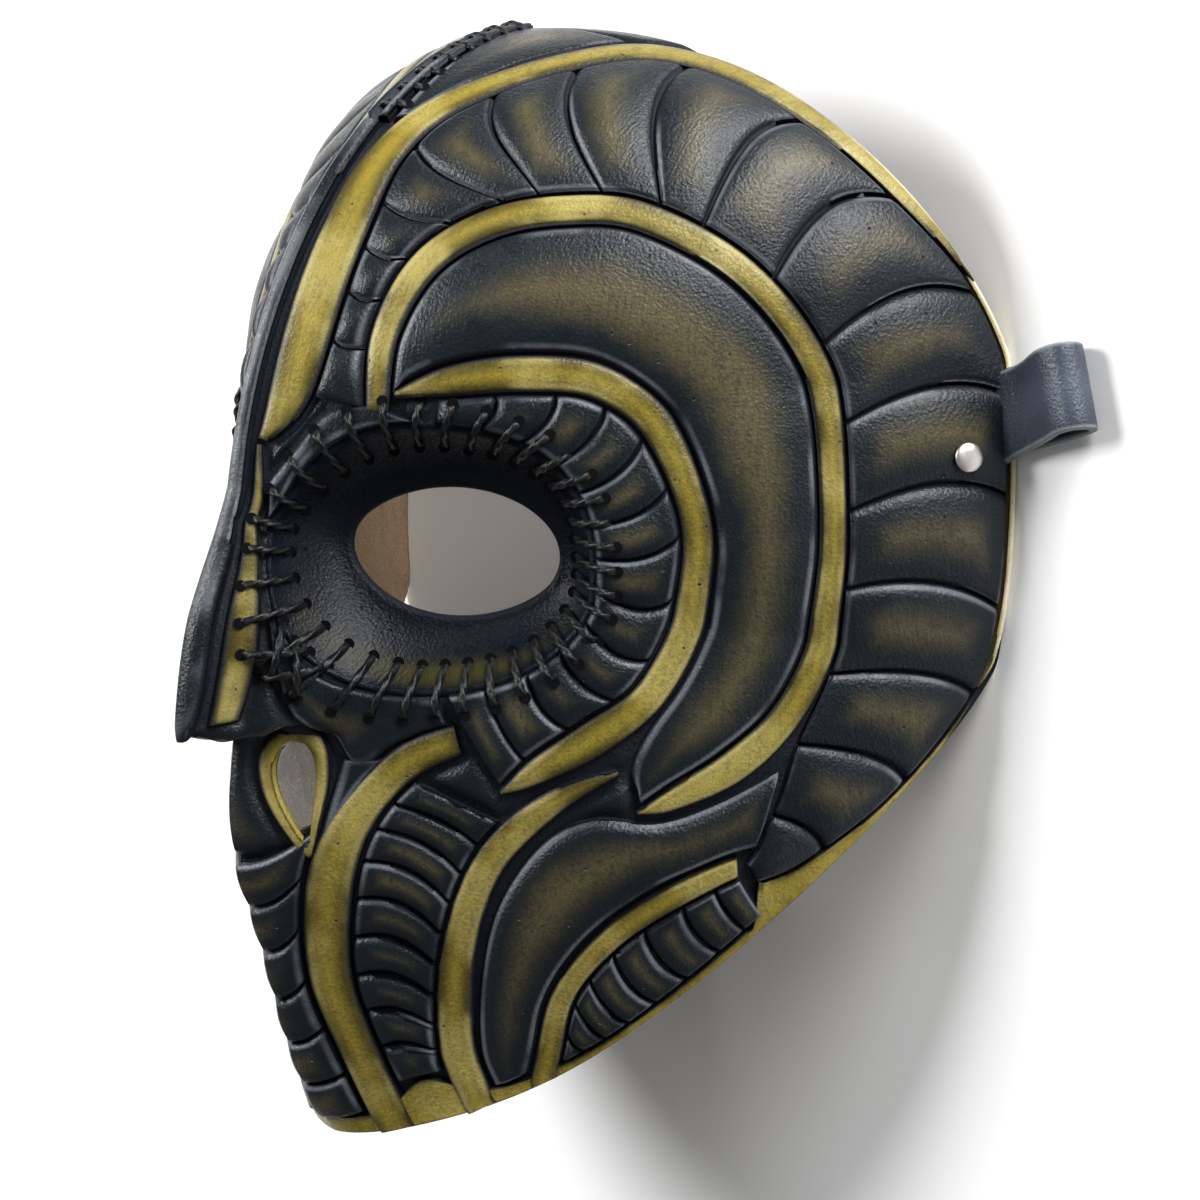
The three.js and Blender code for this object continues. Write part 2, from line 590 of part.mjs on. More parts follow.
place('mask_shell', maskShell(), tooledLeather);
const leftSocket = eyeSocket();
place('eye_socket_left', leftSocket, socketLeather);
place('eye_socket_right', mirrored(leftSocket), socketLeather);
const leftLace = eyeLace();
place('eye_lace_left', leftLace, laceLeather);
place('eye_lace_right', mirrored(leftLace), laceLeather);
place('forehead_lace', foreheadLace(), laceLeather);
place('strap', strap(), strapLeather);
const leftRivet = rivet();
place('rivet_left', leftRivet, nickel);
place('rivet_right', mirrored(leftRivet), nickel);

export default mask;
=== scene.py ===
import json
import math
import bmesh
import bpy
from mathutils import Matrix, Vector
from mathutils.bvhtree import BVHTree
from mathutils.kdtree import KDTree

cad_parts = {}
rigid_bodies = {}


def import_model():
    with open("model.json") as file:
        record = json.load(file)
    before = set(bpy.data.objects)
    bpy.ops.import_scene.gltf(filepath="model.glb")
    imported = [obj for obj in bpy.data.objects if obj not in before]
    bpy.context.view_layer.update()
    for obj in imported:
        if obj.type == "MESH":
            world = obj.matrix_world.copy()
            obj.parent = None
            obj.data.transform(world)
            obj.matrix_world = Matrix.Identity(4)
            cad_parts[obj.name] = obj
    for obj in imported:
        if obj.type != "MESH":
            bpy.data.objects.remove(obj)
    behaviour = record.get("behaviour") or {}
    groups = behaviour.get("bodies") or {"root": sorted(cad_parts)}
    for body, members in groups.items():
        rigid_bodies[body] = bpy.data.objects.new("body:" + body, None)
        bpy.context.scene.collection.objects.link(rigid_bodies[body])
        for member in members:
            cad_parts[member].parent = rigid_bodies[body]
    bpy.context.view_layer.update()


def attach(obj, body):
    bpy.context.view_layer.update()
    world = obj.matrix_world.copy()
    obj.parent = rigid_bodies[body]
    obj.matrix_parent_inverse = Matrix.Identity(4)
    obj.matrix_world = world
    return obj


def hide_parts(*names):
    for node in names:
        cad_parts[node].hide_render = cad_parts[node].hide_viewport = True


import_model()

# Camera: a long portrait lens on the wearer's left, looking down on the mask as it lies
# face up, and leaning a little so that the chin points to the lower left.
aim = Vector((0, -0.044, 0.0506))
swing, rise, lean = math.radians(50), math.radians(5), math.radians(3)
CAMERA_AWAY, CAMERA_LENS, CAMERA_SHIFT = 0.9, 110.7, 80 / 1200
backward = Vector((math.sin(swing) * math.cos(rise), math.sin(rise),
                   math.cos(swing) * math.cos(rise)))
level = Vector((math.cos(swing), 0, -math.sin(swing)))
upright = backward.cross(level)
rightward = level * math.cos(lean) + upright * math.sin(lean)
upward = upright * math.cos(lean) - level * math.sin(lean)
camera = bpy.data.objects.new("camera", bpy.data.cameras.new("camera"))
bpy.context.collection.objects.link(camera)
turn = Matrix((rightward, upward, backward)).transposed().to_4x4()
camera.matrix_world = Matrix.Translation(aim + backward * CAMERA_AWAY) @ turn
camera.data.lens = CAMERA_LENS
camera.data.shift_x = CAMERA_SHIFT
bpy.context.scene.camera = camera

# Floor and light: a plain pale sweep, an even bright room, a broad soft lamp from the upper
# right and a smaller one low on the left that catches the edges of the cuts.
bpy.context.scene.view_settings.view_transform = "Standard"
sweep = bmesh.new()
bmesh.ops.create_grid(sweep, x_segments=1, y_segments=1, size=4)
floor = bpy.data.objects.new("floor", bpy.data.meshes.new("floor"))
sweep.to_mesh(floor.data)
sweep.free()
paper = bpy.data.materials.new("pale_paper")
paper.use_nodes = True
paper.node_tree.nodes["Principled BSDF"].inputs["Base Color"].default_value = (0.86, 0.86, 0.86, 1)
paper.node_tree.nodes["Principled BSDF"].inputs["Roughness"].default_value = 0.9
floor.data.materials.append(paper)
bpy.context.collection.objects.link(floor)
room = bpy.data.worlds.new("room")
room.use_nodes = True
room.node_tree.nodes["Background"].inputs["Color"].default_value = (1, 1, 1, 1)
room.node_tree.nodes["Background"].inputs["Strength"].default_value = 0.26
bpy.context.scene.world = room


def facing(place, way):
    """A thing's place when its Z axis points the given way."""
    return Matrix.Translation(place) @ way.to_track_quat("Z", "Y").to_matrix().to_4x4()


for name, away, reach, size, power in [
    ("key_lamp", rightward * 0.45 + upward * 0.75 + backward * 0.55, 1.3, 0.9, 58),
    ("edge_lamp", -rightward * 0.9 + upward * 0.35 + backward * 0.2, 1.2, 0.6, 20),
    ("low_lamp", rightward * 0.9 - upward * 0.5 + backward * 0.35, 1.3, 0.8, 18),
]:
    lamp = bpy.data.objects.new(name, bpy.data.lights.new(name, "AREA"))
    lamp.data.shape = "DISK"
    lamp.data.size = size
    lamp.data.energy = power
    spot = aim + away.normalized() * reach
    lamp.matrix_world = facing(spot, spot - aim)
    bpy.context.collection.objects.link(lamp)

# Horns: a ribbed band that springs from the brow, goes over the temple and ends beside the
# jaw. The whole face is one side of leather, wetted, pressed over a last with a keeled brow and
# nose, and cut with a bevelled knife. Points of its flat pattern are p across and q up, in mm.
MM = 0.001
HALF_WIDTH, TOP_REACH, CHIN_REACH = 114, 117, 146
BRIDGE_Y, BRIDGE_Z = -24, 137
SQUARE_TOP, SQUARE_JAW = 2.5, 1.75
REST_TOP, REST_JAW, RIM_CURVE = 0.38, 0.21, 1.3
TOP_RIM_Z, JAW_RIM_Z, CHIN_TIP_Z, CHIN_TIP_CURVE = 52, 78, 20, 30
FULLNESS, FULLER_TOP = 0.66, 0.3
KEEL_DROP, KEEL_WIDTH = 16, 20
NOSE_ROOT_Y, NOSE_TIP_Y, NOSE_HEIGHT, NOSE_FALL, NOSE_HOOK = BRIDGE_Y + 8, -65, 15, 5, 7
NOSE_SLIM, NOSE_BROAD = 7, 11
MOUTH_Y, MOUTH_RISE, MOUTH_HIGH, MOUTH_WIDE = -96, 5, 20, 26
PATTERN_SIDE, PATTERN_END = 185, 157
EYE_P, EYE_Q, SEAM_P, SEAM_Q, EYE_SQUARE = 43, -7, 35.5, 32, 2.3
VENT_P, VENT_Q, VENT_HALF_P, VENT_HALF_Q = 9.4, -52, 4.2, 10
VENT_BROAD, VENT_TAPER, VENT_SLANT = 0.62, 0.38, 0.12


def lerp(low, high, t):
    return low + (high - low) * t


def smooth(t):
    t = min(max(t, 0), 1)
    return t * t * (3 - 2 * t)


def bell(distance, width):
    return math.exp(-((distance / width) ** 2))


def last(p, q, nose=NOSE_HEIGHT):
    """The place on the last of a point of the flat pattern, measured from the bridge."""
    angle = math.atan2(q, p)
    across, along = abs(math.cos(angle)), abs(math.sin(angle))
    upper = q > 0
    square = SQUARE_TOP if upper else SQUARE_JAW
    reach = TOP_REACH if upper else CHIN_REACH
    radius = ((across / HALF_WIDTH) ** square + (along / reach) ** square) ** (-1 / square)
    rest = REST_TOP if upper else REST_JAW
    climb = max(0, (along - rest) / (1 - rest)) ** RIM_CURVE
    rim = TOP_RIM_Z * climb if upper else JAW_RIM_Z * climb + CHIN_TIP_Z * along ** CHIN_TIP_CURVE
    swell = FULLNESS + FULLER_TOP * along ** 2 if upper else FULLNESS
    r = math.hypot(p, q) / (PATTERN_END + (PATTERN_SIDE - PATTERN_END) * across ** 2)
    out = radius * ((1 - swell) * r + swell * math.sin(r * math.pi / 2))
    height = (1 - swell) * (1 - r) + swell * math.cos(r * math.pi / 2)
    x, y = out * math.cos(angle), BRIDGE_Y + out * math.sin(angle)
    z = rim + (BRIDGE_Z - rim) * height
    z -= KEEL_DROP * (1 - math.exp(-abs(x) / KEEL_WIDTH)) * max(0, 1 - r ** 5)
    down = min(max((NOSE_ROOT_Y - y) / (NOSE_ROOT_Y - NOSE_TIP_Y), 0), 1)
    under = 1 - smooth((NOSE_TIP_Y - 2 - y) / NOSE_FALL)
    breadth = NOSE_SLIM + NOSE_BROAD * down * (1 - 0.4 * down ** 4)
    ridge = smooth(down) ** 0.8 * under * bell(x, breadth)
    hook = NOSE_HOOK * nose * ridge * smooth(2.5 * down - 1.5) / NOSE_HEIGHT
    z += nose * ridge
    z += MOUTH_RISE * bell(y - MOUTH_Y, MOUTH_HIGH) * bell(x, MOUTH_WIDE)
    return Vector((x, y - hook, z))


def outward(p, q, nose=NOSE_HEIGHT, step=0.8):
    """The direction straight out of the last at a point of the pattern."""
    across = last(p + step, q, nose) - last(p - step, q, nose)
    along = last(p, q + step, nose) - last(p, q - step, nose)
    return across.cross(along).normalized()


def lifted(p, q, height):
    """The place so many mm above the last, in metres and never below the floor."""
    place = last(p, q) + outward(p, q) * height
    place.z = max(place.z, 0)
    return place * MM


def on_pattern(angle, share):
    """The point of the pattern at an angle, a share of the way from the bridge to the rim."""
    reach = PATTERN_END + (PATTERN_SIDE - PATTERN_END) * math.cos(angle) ** 2
    return share * reach * math.cos(angle), share * reach * math.sin(angle)


def eye_ring(angle, scale):
    """The seam round the wearer's left eye, scaled about its middle."""
    c, s = math.cos(angle), math.sin(angle)
    square = (abs(c) ** EYE_SQUARE + abs(s) ** EYE_SQUARE) ** (-1 / EYE_SQUARE)
    return EYE_P + SEAM_P * scale * square * c, EYE_Q + SEAM_Q * scale * square * s


def vent_ring(angle, grow):
    """The drop-shaped breathing hole beside the nose, grown by so many mm."""
    s = math.sin(angle)
    width = (VENT_HALF_P + grow) * (VENT_BROAD + VENT_TAPER * s)
    p = VENT_P + width * math.cos(angle) - VENT_SLANT * VENT_HALF_Q * s
    return p, VENT_Q + (VENT_HALF_Q + grow) * s


class Dye:
    """A shader socket that is worked with like a number."""

    def __init__(self, tree, socket=None):
        self.tree, self.socket = tree, socket

    def make(self, kind, settings=None, values=None, out=0):
        """Adds a node; a value that is a Dye is linked, any other is set."""
        node = self.tree.nodes.new("ShaderNode" + kind)
        for name, value in (settings or {}).items():
            setattr(node, name, value)
        for name, value in (values or {}).items():
            if isinstance(value, Dye):
                self.tree.links.new(value.socket, node.inputs[name])
            else:
                node.inputs[name].default_value = value
        return Dye(self.tree, node.outputs[out])

    def sum(self, operation, first, second):
        return self.make("Math", {"operation": operation}, {0: first, 1: second})

    def __add__(self, other):
        return self.sum("ADD", self, other)

    __radd__ = __add__

    def __sub__(self, other):
        return self.sum("SUBTRACT", self, other)

    def __rsub__(self, other):
        return self.sum("SUBTRACT", other, self)

    def __mul__(self, other):
        return self.sum("MULTIPLY", self, other)

    __rmul__ = __mul__

    def between(self, low, high):
        return self.make("MapRange", {"interpolation_type": "SMOOTHSTEP"},
                         {"Value": self, "From Min": low, "From Max": high})

    def tint(self, first, second):
        return self.make("Mix", {"data_type": "RGBA"}, {0: self, 6: first, 7: second}, 2)


def finish(colour, roughness, height, depth, shine, metal=0.0):
    """Closes a material: colour and roughness vary over the surface, height gives its grain."""
    shader = colour.tree.nodes["Principled BSDF"]
    colour.tree.links.new(colour.socket, shader.inputs["Base Color"])
    colour.tree.links.new(roughness.socket, shader.inputs["Roughness"])
    relief = colour.make("Bump", {}, {"Strength": 1.0, "Distance": depth, "Height": height})
    colour.tree.links.new(relief.socket, shader.inputs["Normal"])
    shader.inputs["Metallic"].default_value = metal
    shader.inputs["Specular IOR Level"].default_value = shine


def blank(name):
    material = bpy.data.materials.new(name)
    material.use_nodes = True
    return material, Dye(material.node_tree)


def noise(place, scale, detail, roughness=0.5):
    return place.make("TexNoise", {}, {"Vector": place, "Scale": scale, "Detail": detail,
                                       "Roughness": roughness}, "Fac")


def tooled_leather(name, cut, field, heart, heart_at, rub, highlight_share, pepper, faded=0.0,
                   shine=0.26):
    """Antiqued leather: cut is the dye in the cuts, field beside them, heart further in, between
    the two distances heart_at. The pale colour after heart_at is painted highlight on the bevels
    beside the cuts, and pale wax on faded patches; its share sets the painted highlight's strength."""
    material, dye = blank(name)
    place = dye.make("TexCoord", out="Object")
    edge = dye.make("Attribute", {"attribute_name": "edge"}, out="Fac")
    bevel = dye.make("Attribute", {"attribute_name": "rub"}, out="Fac")
    cloud = noise(place, 42, 3)
    patch = noise(place, 190, 4, 0.6)
    grain = noise(place, 1000, 5, 0.7)
    cells = dye.make("TexVoronoi", {}, {"Vector": place, "Scale": 1300}, "Distance")
    pores = dye.make("TexVoronoi", {}, {"Vector": place, "Scale": 230}, "Distance")
    slant = dye.make("Mapping", {}, {"Vector": place, "Rotation": (0.5, 0.9, 0.4),
                                     "Scale": (2200, 130, 130)})
    stroke = noise(slant, 1, 2)

    drift = edge + ((cloud - 0.5) * 0.65 + (patch - 0.5) * 0.22) * heart_at[1]
    inner = drift.between(*heart_at)
    colour = inner.tint(field, heart)
    if faded:
        colour = (cloud.between(0.44, 0.66) * faded).tint(colour, rub)
    mottle = (grain * 0.55 + patch * 0.25 + stroke * 0.2).between(0.46, 0.6) * pepper
    colour = mottle.tint(colour, cut)
    # Painted highlight: a pale stripe on the bevel beside each cut; on ribs only on the side of the
    # cut that faces the light.
    painted_highlight = bevel.between(0.7, 1.2) * (1 - bevel.between(1.5, 2.6)) * cloud.between(0.4, 0.6)
    colour = (painted_highlight * highlight_share).tint(colour, rub)
    dots = (1 - pores.between(0.05, 0.11)) * patch.between(0.5, 0.58)
    colour = (dots * 0.9).tint(colour, cut)
    stain = 1 - (edge + (patch - 0.5) * 0.7).between(0.25, 1.15)
    colour = stain.tint(colour, cut)

    roughness = 0.31 + (patch - 0.5) * 0.3 + (grain - 0.5) * 0.4 + stain * 0.3
    height = grain * 0.55 + cells * 0.3 + stroke * 0.3 - dots * 1.5
    finish(colour, roughness, height, GRAIN_DEPTH, shine)
    return material


GRAIN_DEPTH = 0.00028
INK = (0.003, 0.0045, 0.010, 1)
# The fourth colour of each leather is painted highlight on its bevels; the gold also uses it for
# its faded patches.
blue_black = tooled_leather(
    "blue_black_leather", INK, field=(0.0035, 0.0068, 0.0095, 1), heart=(0.073, 0.060, 0.027, 1),
    heart_at=(3.7, 15.5), rub=(0.13, 0.14, 0.16, 1), highlight_share=0.6, pepper=0.55)
gold = tooled_leather(
    "gold_leather", INK, field=(0.04, 0.032, 0.005, 1), heart=(0.19, 0.145, 0.017, 1),
    heart_at=(0.5, 4.0), rub=(0.40, 0.34, 0.12, 1), highlight_share=0.35, pepper=0.35, faded=0.4)
cream = tooled_leather(
    "cream_edge_leather", (0.10, 0.075, 0.03, 1), field=(0.38, 0.32, 0.17, 1),
    heart=(0.66, 0.6, 0.42, 1), heart_at=(0.4, 2.2), rub=(0.75, 0.7, 0.55, 1), highlight_share=0.3,
    pepper=0.25)
flesh_side = tooled_leather(
    "flesh_side_leather", (0.05, 0.032, 0.018, 1), field=(0.10, 0.066, 0.036, 1),
    heart=(0.17, 0.115, 0.065, 1), heart_at=(-3, 4), rub=(0.2, 0.15, 0.09, 1), highlight_share=0.2,
    pepper=0.4)


SEAM, MIRROR_SEAM = 1e-6, 1e-7
HEAD_MIDDLE = Vector((0, -30 * MM, 30 * MM))


def closed_up(mesh):
    """Merges a finished sheet's seams and turns every face away from the middle of the head."""
    bmesh.ops.remove_doubles(mesh, verts=mesh.verts, dist=SEAM)
    for face in mesh.faces:
        face.normal_update()
        if face.normal.dot(face.calc_center_median() - HEAD_MIDDLE) < 0:
            face.normal_flip()


def mirrored(mesh):
    """Adds the wearer's right side, merged with the left at the middle."""
    bmesh.ops.mirror(mesh, geom=mesh.verts[:] + mesh.edges[:] + mesh.faces[:], axis="X",
                     merge_dist=MIRROR_SEAM)


def make_piece(name, mesh, materials, slot, *nodes, smoothed=True):
    """A mesh becomes a piece of the part, in place of the named solids."""
    piece = bpy.data.objects.new(name, bpy.data.meshes.new(name))
    mesh.to_mesh(piece.data)
    mesh.free()
    for material in materials:
        piece.data.materials.append(material)
    piece.data.shade_smooth() if smoothed else piece.data.shade_flat()
    bpy.context.collection.objects.link(piece)
    if nodes:
        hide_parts(*nodes)
    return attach(piece, "root")


def stroke_of(points):
    """A smooth stroke through (p, q, half width) points, as a function of 0 to 1."""
    ends = [points[0]] + list(points) + [points[-1]]

    def at(t):
        t = min(max(t, 0), 1) * (len(points) - 1)
        i = min(int(t), len(points) - 2)
        f = t - i
        a, b, c, d = ends[i:i + 4]
        return [0.5 * (2 * v + (w - u) * f + (2 * u - 5 * v + 4 * w - x) * f * f
                       + (3 * v - u - 3 * w + x) * f ** 3) for u, v, w, x in zip(a, b, c, d)]

    return at


STEP = 0.004


def beside(stroke, t, side, gap=0.0):
    """A point of a stroke: t runs along it, side from -1 to 1 across it, gap is the way beyond."""
    p, q, half = stroke(t)
    ahead, behind = stroke(min(t + STEP, 1)), stroke(max(t - STEP, 0))
    dp, dq = ahead[0] - behind[0], ahead[1] - behind[1]
    away = (half * side + math.copysign(gap, side)) / math.hypot(dp, dq)
    return p - dq * away, q + dp * away, half


CUT = 0.3


def side_line(stroke, start, end, side):
    """The line a cut's width beside a stroke, from start to end along it."""
    return lambda t: beside(stroke, lerp(start, end, t), side, CUT)


def line(*points):
    return stroke_of([(p, q, 0) for p, q in points])


HORN = [
    (13.5, 24, 1.6), (14.6, 34.5, 2.6), (15.8, 44.5, 4), (17.3, 54, 5.8), (19.2, 63.5, 8.6),
    (22, 74.5, 12.6), (28.5, 86, 16.5), (40, 95, 21),
    (56, 103, 24), (77, 106, 26), (99, 99, 26), (122, 84, 24.5), (139, 63, 23.5), (151, 37, 23),
    (158, 7, 22.5), (155, -24, 21.5), (149, -51, 20), (137, -75, 17), (122, -92, 10), (110, -99, 3),
]
OUTER_BAND = [
    (3.5, 16, 1.2), (7, 28, 4.2), (7.4, 60, 4.8), (7.5, 82, 4.4), (13, 99, 4.6), (30, 119, 5),
    (49.5, 135, 6), (74, 136.4, 6.2), (103, 124.8, 5), (131.8, 106.6, 3.3), (150.5, 91, 0.8),
]
INNER_BAND = [
    (24, 25, 2.6), (22, 40, 3), (26, 56, 3.6), (36, 67, 3.8), (50, 74, 3.8), (67, 77.5, 3.8),
    (91, 72, 3.8), (111, 57, 3.6), (125, 34, 3.4), (132, 4, 3.4), (129, -27, 3.8), (121, -50, 4.4),
    (108, -64, 5), (92, -71, 3.4), (83, -73, 0.8),
]
ORBIT_BAND = [
    (27, 29, 1), (38, 34, 3.2), (53, 38.5, 4), (69, 40, 4), (84, 33, 3.8), (96, 18, 3.6),
    (101.5, 0, 3.6), (98, -24, 3.9), (89, -43, 4.2), (75, -53, 4.6), (60, -59, 3.2), (51, -62, 0.8),
]
CHEEK_INNER = [
    (60, -46, 1), (48, -48.5, 3), (29, -51.5, 4), (18, -60, 4.2), (12, -75, 4.2), (9.5, -94, 4),
    (12, -116, 4), (16, -143, 4.6), (18.4, -155.4, 4.8),
]
CHEEK_OUTER = [
    (80, -62, 1), (62, -67, 3.4), (44, -77, 4.2), (34, -95, 4.2), (31.5, -121, 4), (36, -145, 3.9),
    (38.6, -153, 4),
]
JAW_BAND = [
    (123, -101, 1), (112, -95, 3.4), (95, -97, 4.2), (72, -104, 4.2), (57, -117, 4), (53, -140, 4),
    (54, -149.6, 4),
]
horn, outer_band, inner_band, orbit_band, cheek_inner, cheek_outer, jaw_band = [
    stroke_of(points) for points in
    (HORN, OUTER_BAND, INNER_BAND, ORBIT_BAND, CHEEK_INNER, CHEEK_OUTER, JAW_BAND)]

HORN_RIBS, HORN_LENGTH, RIB_ROWS = 18, 430, 14
ROOT, BEVEL, CUT_ROUND, SIDE_ROUND = 0.9, 2.6, 1.1, 1.3
RIM_OF_RIB, HEART_FROM, PLAIN_PITCH = 0.6, 1.5, 24


def shoulder(distance, radius):
    """The share of its full height that a rounded edge has so far in from its foot."""
    return math.sqrt(1 - (1 - min(max(distance / radius, 0), 1)) ** 2)


def crowd(t, share=0.75):
    """Draws evenly spaced lines together at both ends."""
    return t - share * math.sin(2 * math.pi * t) / (2 * math.pi)


def standing(lift, share):
    """The height of raised work whose foot is rooted a little below the ground."""
    return (lift + ROOT) * share - ROOT


def sheet(mesh, rows, columns, place):
    """A sheet of the leather's face: place(t, side) gives p, q, height, distance to the cut and,
    if they differ, distance to the foot of the bevel that gets the painted highlight."""
    layers = mesh.verts.layers.float
    for name in ("edge", "rub"):
        if name not in layers:
            layers.new(name)
    cut, bevel = layers["edge"], layers["rub"]
    for vert in bmesh.ops.create_grid(mesh, x_segments=rows, y_segments=columns, size=1)["verts"]:
        t, side = (vert.co.x + 1) / 2, 2 * crowd((vert.co.y + 1) / 2) - 1
        p, q, height, edge, *rub = place(t, side)
        vert.co = lifted(p, q, height)
        vert[cut], vert[bevel] = edge, rub[0] if rub else edge


def ribs(mesh, count, point, length, width, lift, dome, bow=0.0, columns=16):
    """Ribs side by side; point(t, side) is their place, length and width their rough size. Short
    ribs count the way to their hearts longer, so that these show as much as in the horns."""
    pitch = length / count

    def place(t, side):
        row = round(t * count * RIB_ROWS)
        rib, step = min(row // RIB_ROWS, count - 1), row % RIB_ROWS
        local = crowd(step / RIB_ROWS) if row < count * RIB_ROWS else 1
        bend = bow * (1 - side * side) * math.sin(math.pi * t) ** 0.5
        p, q = point(min(max((rib + local + bend) / count, 0), 1), side)[:2]
        to_side = (1 - abs(side)) * width(t)
        edge = min(min(local, 1 - local) * pitch, to_side)
        edge += max(0, edge - HEART_FROM) * max(0, PLAIN_PITCH / pitch - 1)
        body = shoulder(local * pitch, BEVEL) * shoulder((1 - local) * pitch, CUT_ROUND)
        body *= shoulder(to_side, SIDE_ROUND)
        height = standing(lift, body) + dome * 4 * local * (1 - local) * (1 - side * side)
        # The last value sets where the painted highlight falls: on the bevel at each rib's start,
        # the side of the cut that faces the light, and along the rib's sides.
        return p, q, height, edge, min(local * pitch, to_side + RIM_OF_RIB)

    sheet(mesh, count * RIB_ROWS, columns, place)


def both_sides(mesh):
    mirrored(mesh)
    closed_up(mesh)


RIM_LINE, TIP_FROM, TIP_LENGTH = 0.978, 0.82, 0.108
BORDER_STEPS, BORDER_END = 200, 195
inner_border = [beside(inner_band, i / BORDER_STEPS, 1, CUT)[:2] for i in range(BORDER_STEPS + 1)]
outer_borders = [[beside(outer_band, i / BORDER_STEPS, -1, CUT)[:2] for i in range(BORDER_END)],
                 [on_pattern(math.radians(angle), RIM_LINE) for angle in range(34, -44, -1)]]
HORN_START, HORN_SHARE = 0.01, 0.98
SHORTEST, LONGEST, BROW_ROOM, BROW_SHARE = 0.3, 1.8, 8, 0.2


def way_to(start, way, borders, usual, longest):
    """How far a line runs from start before it meets a border, or the usual half width."""
    found = []
    for border in borders:
        for (a, b), (c, d) in zip(border, border[1:]):
            across = way[0] * (d - b) - way[1] * (c - a)
            if abs(across) > 1e-9:
                reach = ((a - start[0]) * (d - b) - (b - start[1]) * (c - a)) / across
                share = ((a - start[0]) * way[1] - (b - start[1]) * way[0]) / across
                if 0 <= share <= 1 and SHORTEST * usual < reach < longest:
                    found.append(reach)
    return min(found, default=usual)


horn_rows = {}


def horn_row(t):
    """A line across the horn: its middle, its way, and how far it runs inwards and outwards."""
    t = round(min(max(t, 0), 1), 4)
    if t not in horn_rows:
        along = HORN_START + HORN_SHARE * t
        p, q, half = horn(along)
        edge = beside(horn, along, 1)
        way = ((edge[0] - p) / half, (edge[1] - q) / half)
        back = (-way[0], -way[1])
        longest = LONGEST * half + BROW_ROOM * (1 - smooth(along / BROW_SHARE))
        free = smooth((along - TIP_FROM) / TIP_LENGTH)
        inner = lerp(way_to((p, q), back, [inner_border], half, longest), half, free)
        outer = lerp(way_to((p, q), way, outer_borders, half, longest), half, free)
        horn_rows[t] = (p, q, way, inner, outer)
    return horn_rows[t]


def horn_point(t, side):
    p, q, way, inner, outer = horn_row(t)
    away = side * (outer if side > 0 else inner)
    return p + way[0] * away, q + way[1] * away


horns = bmesh.new()
ribs(horns, HORN_RIBS, horn_point, HORN_LENGTH, lambda t: sum(horn_row(t)[3:]) / 2,
     lift=1.6, dome=1.4, bow=-0.23, columns=32)
both_sides(horns)
make_piece("horn_ribs", horns, [blue_black], "tooled_leather", "mask_shell")

# Gold bands: flat strips left standing between two cuts and brushed with gold wax: round the
# rim, along the horns, round the brow and eyes, over the cheeks and along the jaw.
BAND_ROUND, BAND_DOME, END_EDGE, END_REACH = 1.2, 0.25, 0.5, 150


def band(mesh, stroke, rows, lift=1.5, ends=(0, 1)):
    """A flat strip along a stroke, between two shares of its length."""
    def place(t, side):
        p, q, half = beside(stroke, ends[0] + (ends[1] - ends[0]) * t, side)
        to_end = END_EDGE + END_REACH * (ends[1] - ends[0]) * min(t, 1 - t)
        edge = min((1 - abs(side)) * half, to_end)
        height = standing(lift, shoulder(edge, BAND_ROUND)) + BAND_DOME * (1 - side * side)
        return p, q, height, edge

    sheet(mesh, rows, 10, place)


bands = bmesh.new()
NOSE_BAND = [(3, 15, 0.8), (4.2, 2, 1.5), (5.2, -12, 1.9), (5.8, -24, 2.2), (4.6, -32.5, 1.8)]
for stroke, rows in [(outer_band, 150), (inner_band, 190), (orbit_band, 130)]:
    band(bands, stroke, rows)
band(bands, cheek_outer, 90)
band(bands, jaw_band, 80, ends=(0.2167, 1))
band(bands, cheek_inner, 100, ends=(0.16, 1))
band(bands, stroke_of(NOSE_BAND), 40, lift=1.2)
both_sides(bands)
make_piece("gold_bands", bands, [gold], "tooled_leather", "mask_shell")

# Rim strips: the raw edge of the leather beside the outer side of each horn, from the temple down
# to the cheek, coloured pale cream.
RIM_SHARE, RIM_GAP = 0.997, 0.5
RIM_FROM, RIM_STEPS, RIM_TURNS_GOLD = 0.49, 120, 80
NARROW_END, NARROW_RATE = 0.15, 6
STRIP_LIFT, STRIP_IN, STRIP_OUT = 1.1, 1.2, 0.8


def jaw_share(angle):
    """How far out the last cut beside the rim lies under the jaw; the chin draws it in."""
    return 0.963 - 0.04 * smooth((-angle - 62) / 20) - 0.085 * bell(angle + 79.6, 3.2)


rim_rows = [horn_row(RIM_FROM + (1 - RIM_FROM) * i / RIM_STEPS) for i in range(RIM_STEPS + 1)]
rim_line = [(p + way[0] * (outer + RIM_GAP), q + way[1] * (outer + RIM_GAP))
            for p, q, way, _, outer in rim_rows]
jaw_line = rim_line[RIM_TURNS_GOLD:] + [on_pattern(math.radians(angle), jaw_share(angle))
                                        for angle in range(-46, -91, -1)]


def rim_sheet(mesh, points, rows, narrow_at):
    """A strip from a line of points out to the rim, narrow at its start, 0, or its end, 1."""
    path = line(*points)

    def place(t, side):
        p, q, _ = path(t)
        outer = on_pattern(math.atan2(q, p), RIM_SHARE)
        share = (side + 1) / 2 * min(1, NARROW_END + NARROW_RATE * abs(narrow_at - t))
        inwards = share * math.dist((p, q), outer)
        outwards = (1 - share) * math.dist((p, q), outer)
        height = standing(STRIP_LIFT, shoulder(inwards, STRIP_IN) * shoulder(outwards, STRIP_OUT))
        return lerp(p, outer[0], share), lerp(q, outer[1], share), height, inwards

    sheet(mesh, rows, 10, place)


rim_strip = bmesh.new()
rim_sheet(rim_strip, rim_line[:RIM_TURNS_GOLD + 1], 120, narrow_at=1)
both_sides(rim_strip)
make_piece("rim_strips", rim_strip, [cream], "tooled_leather", "mask_shell")

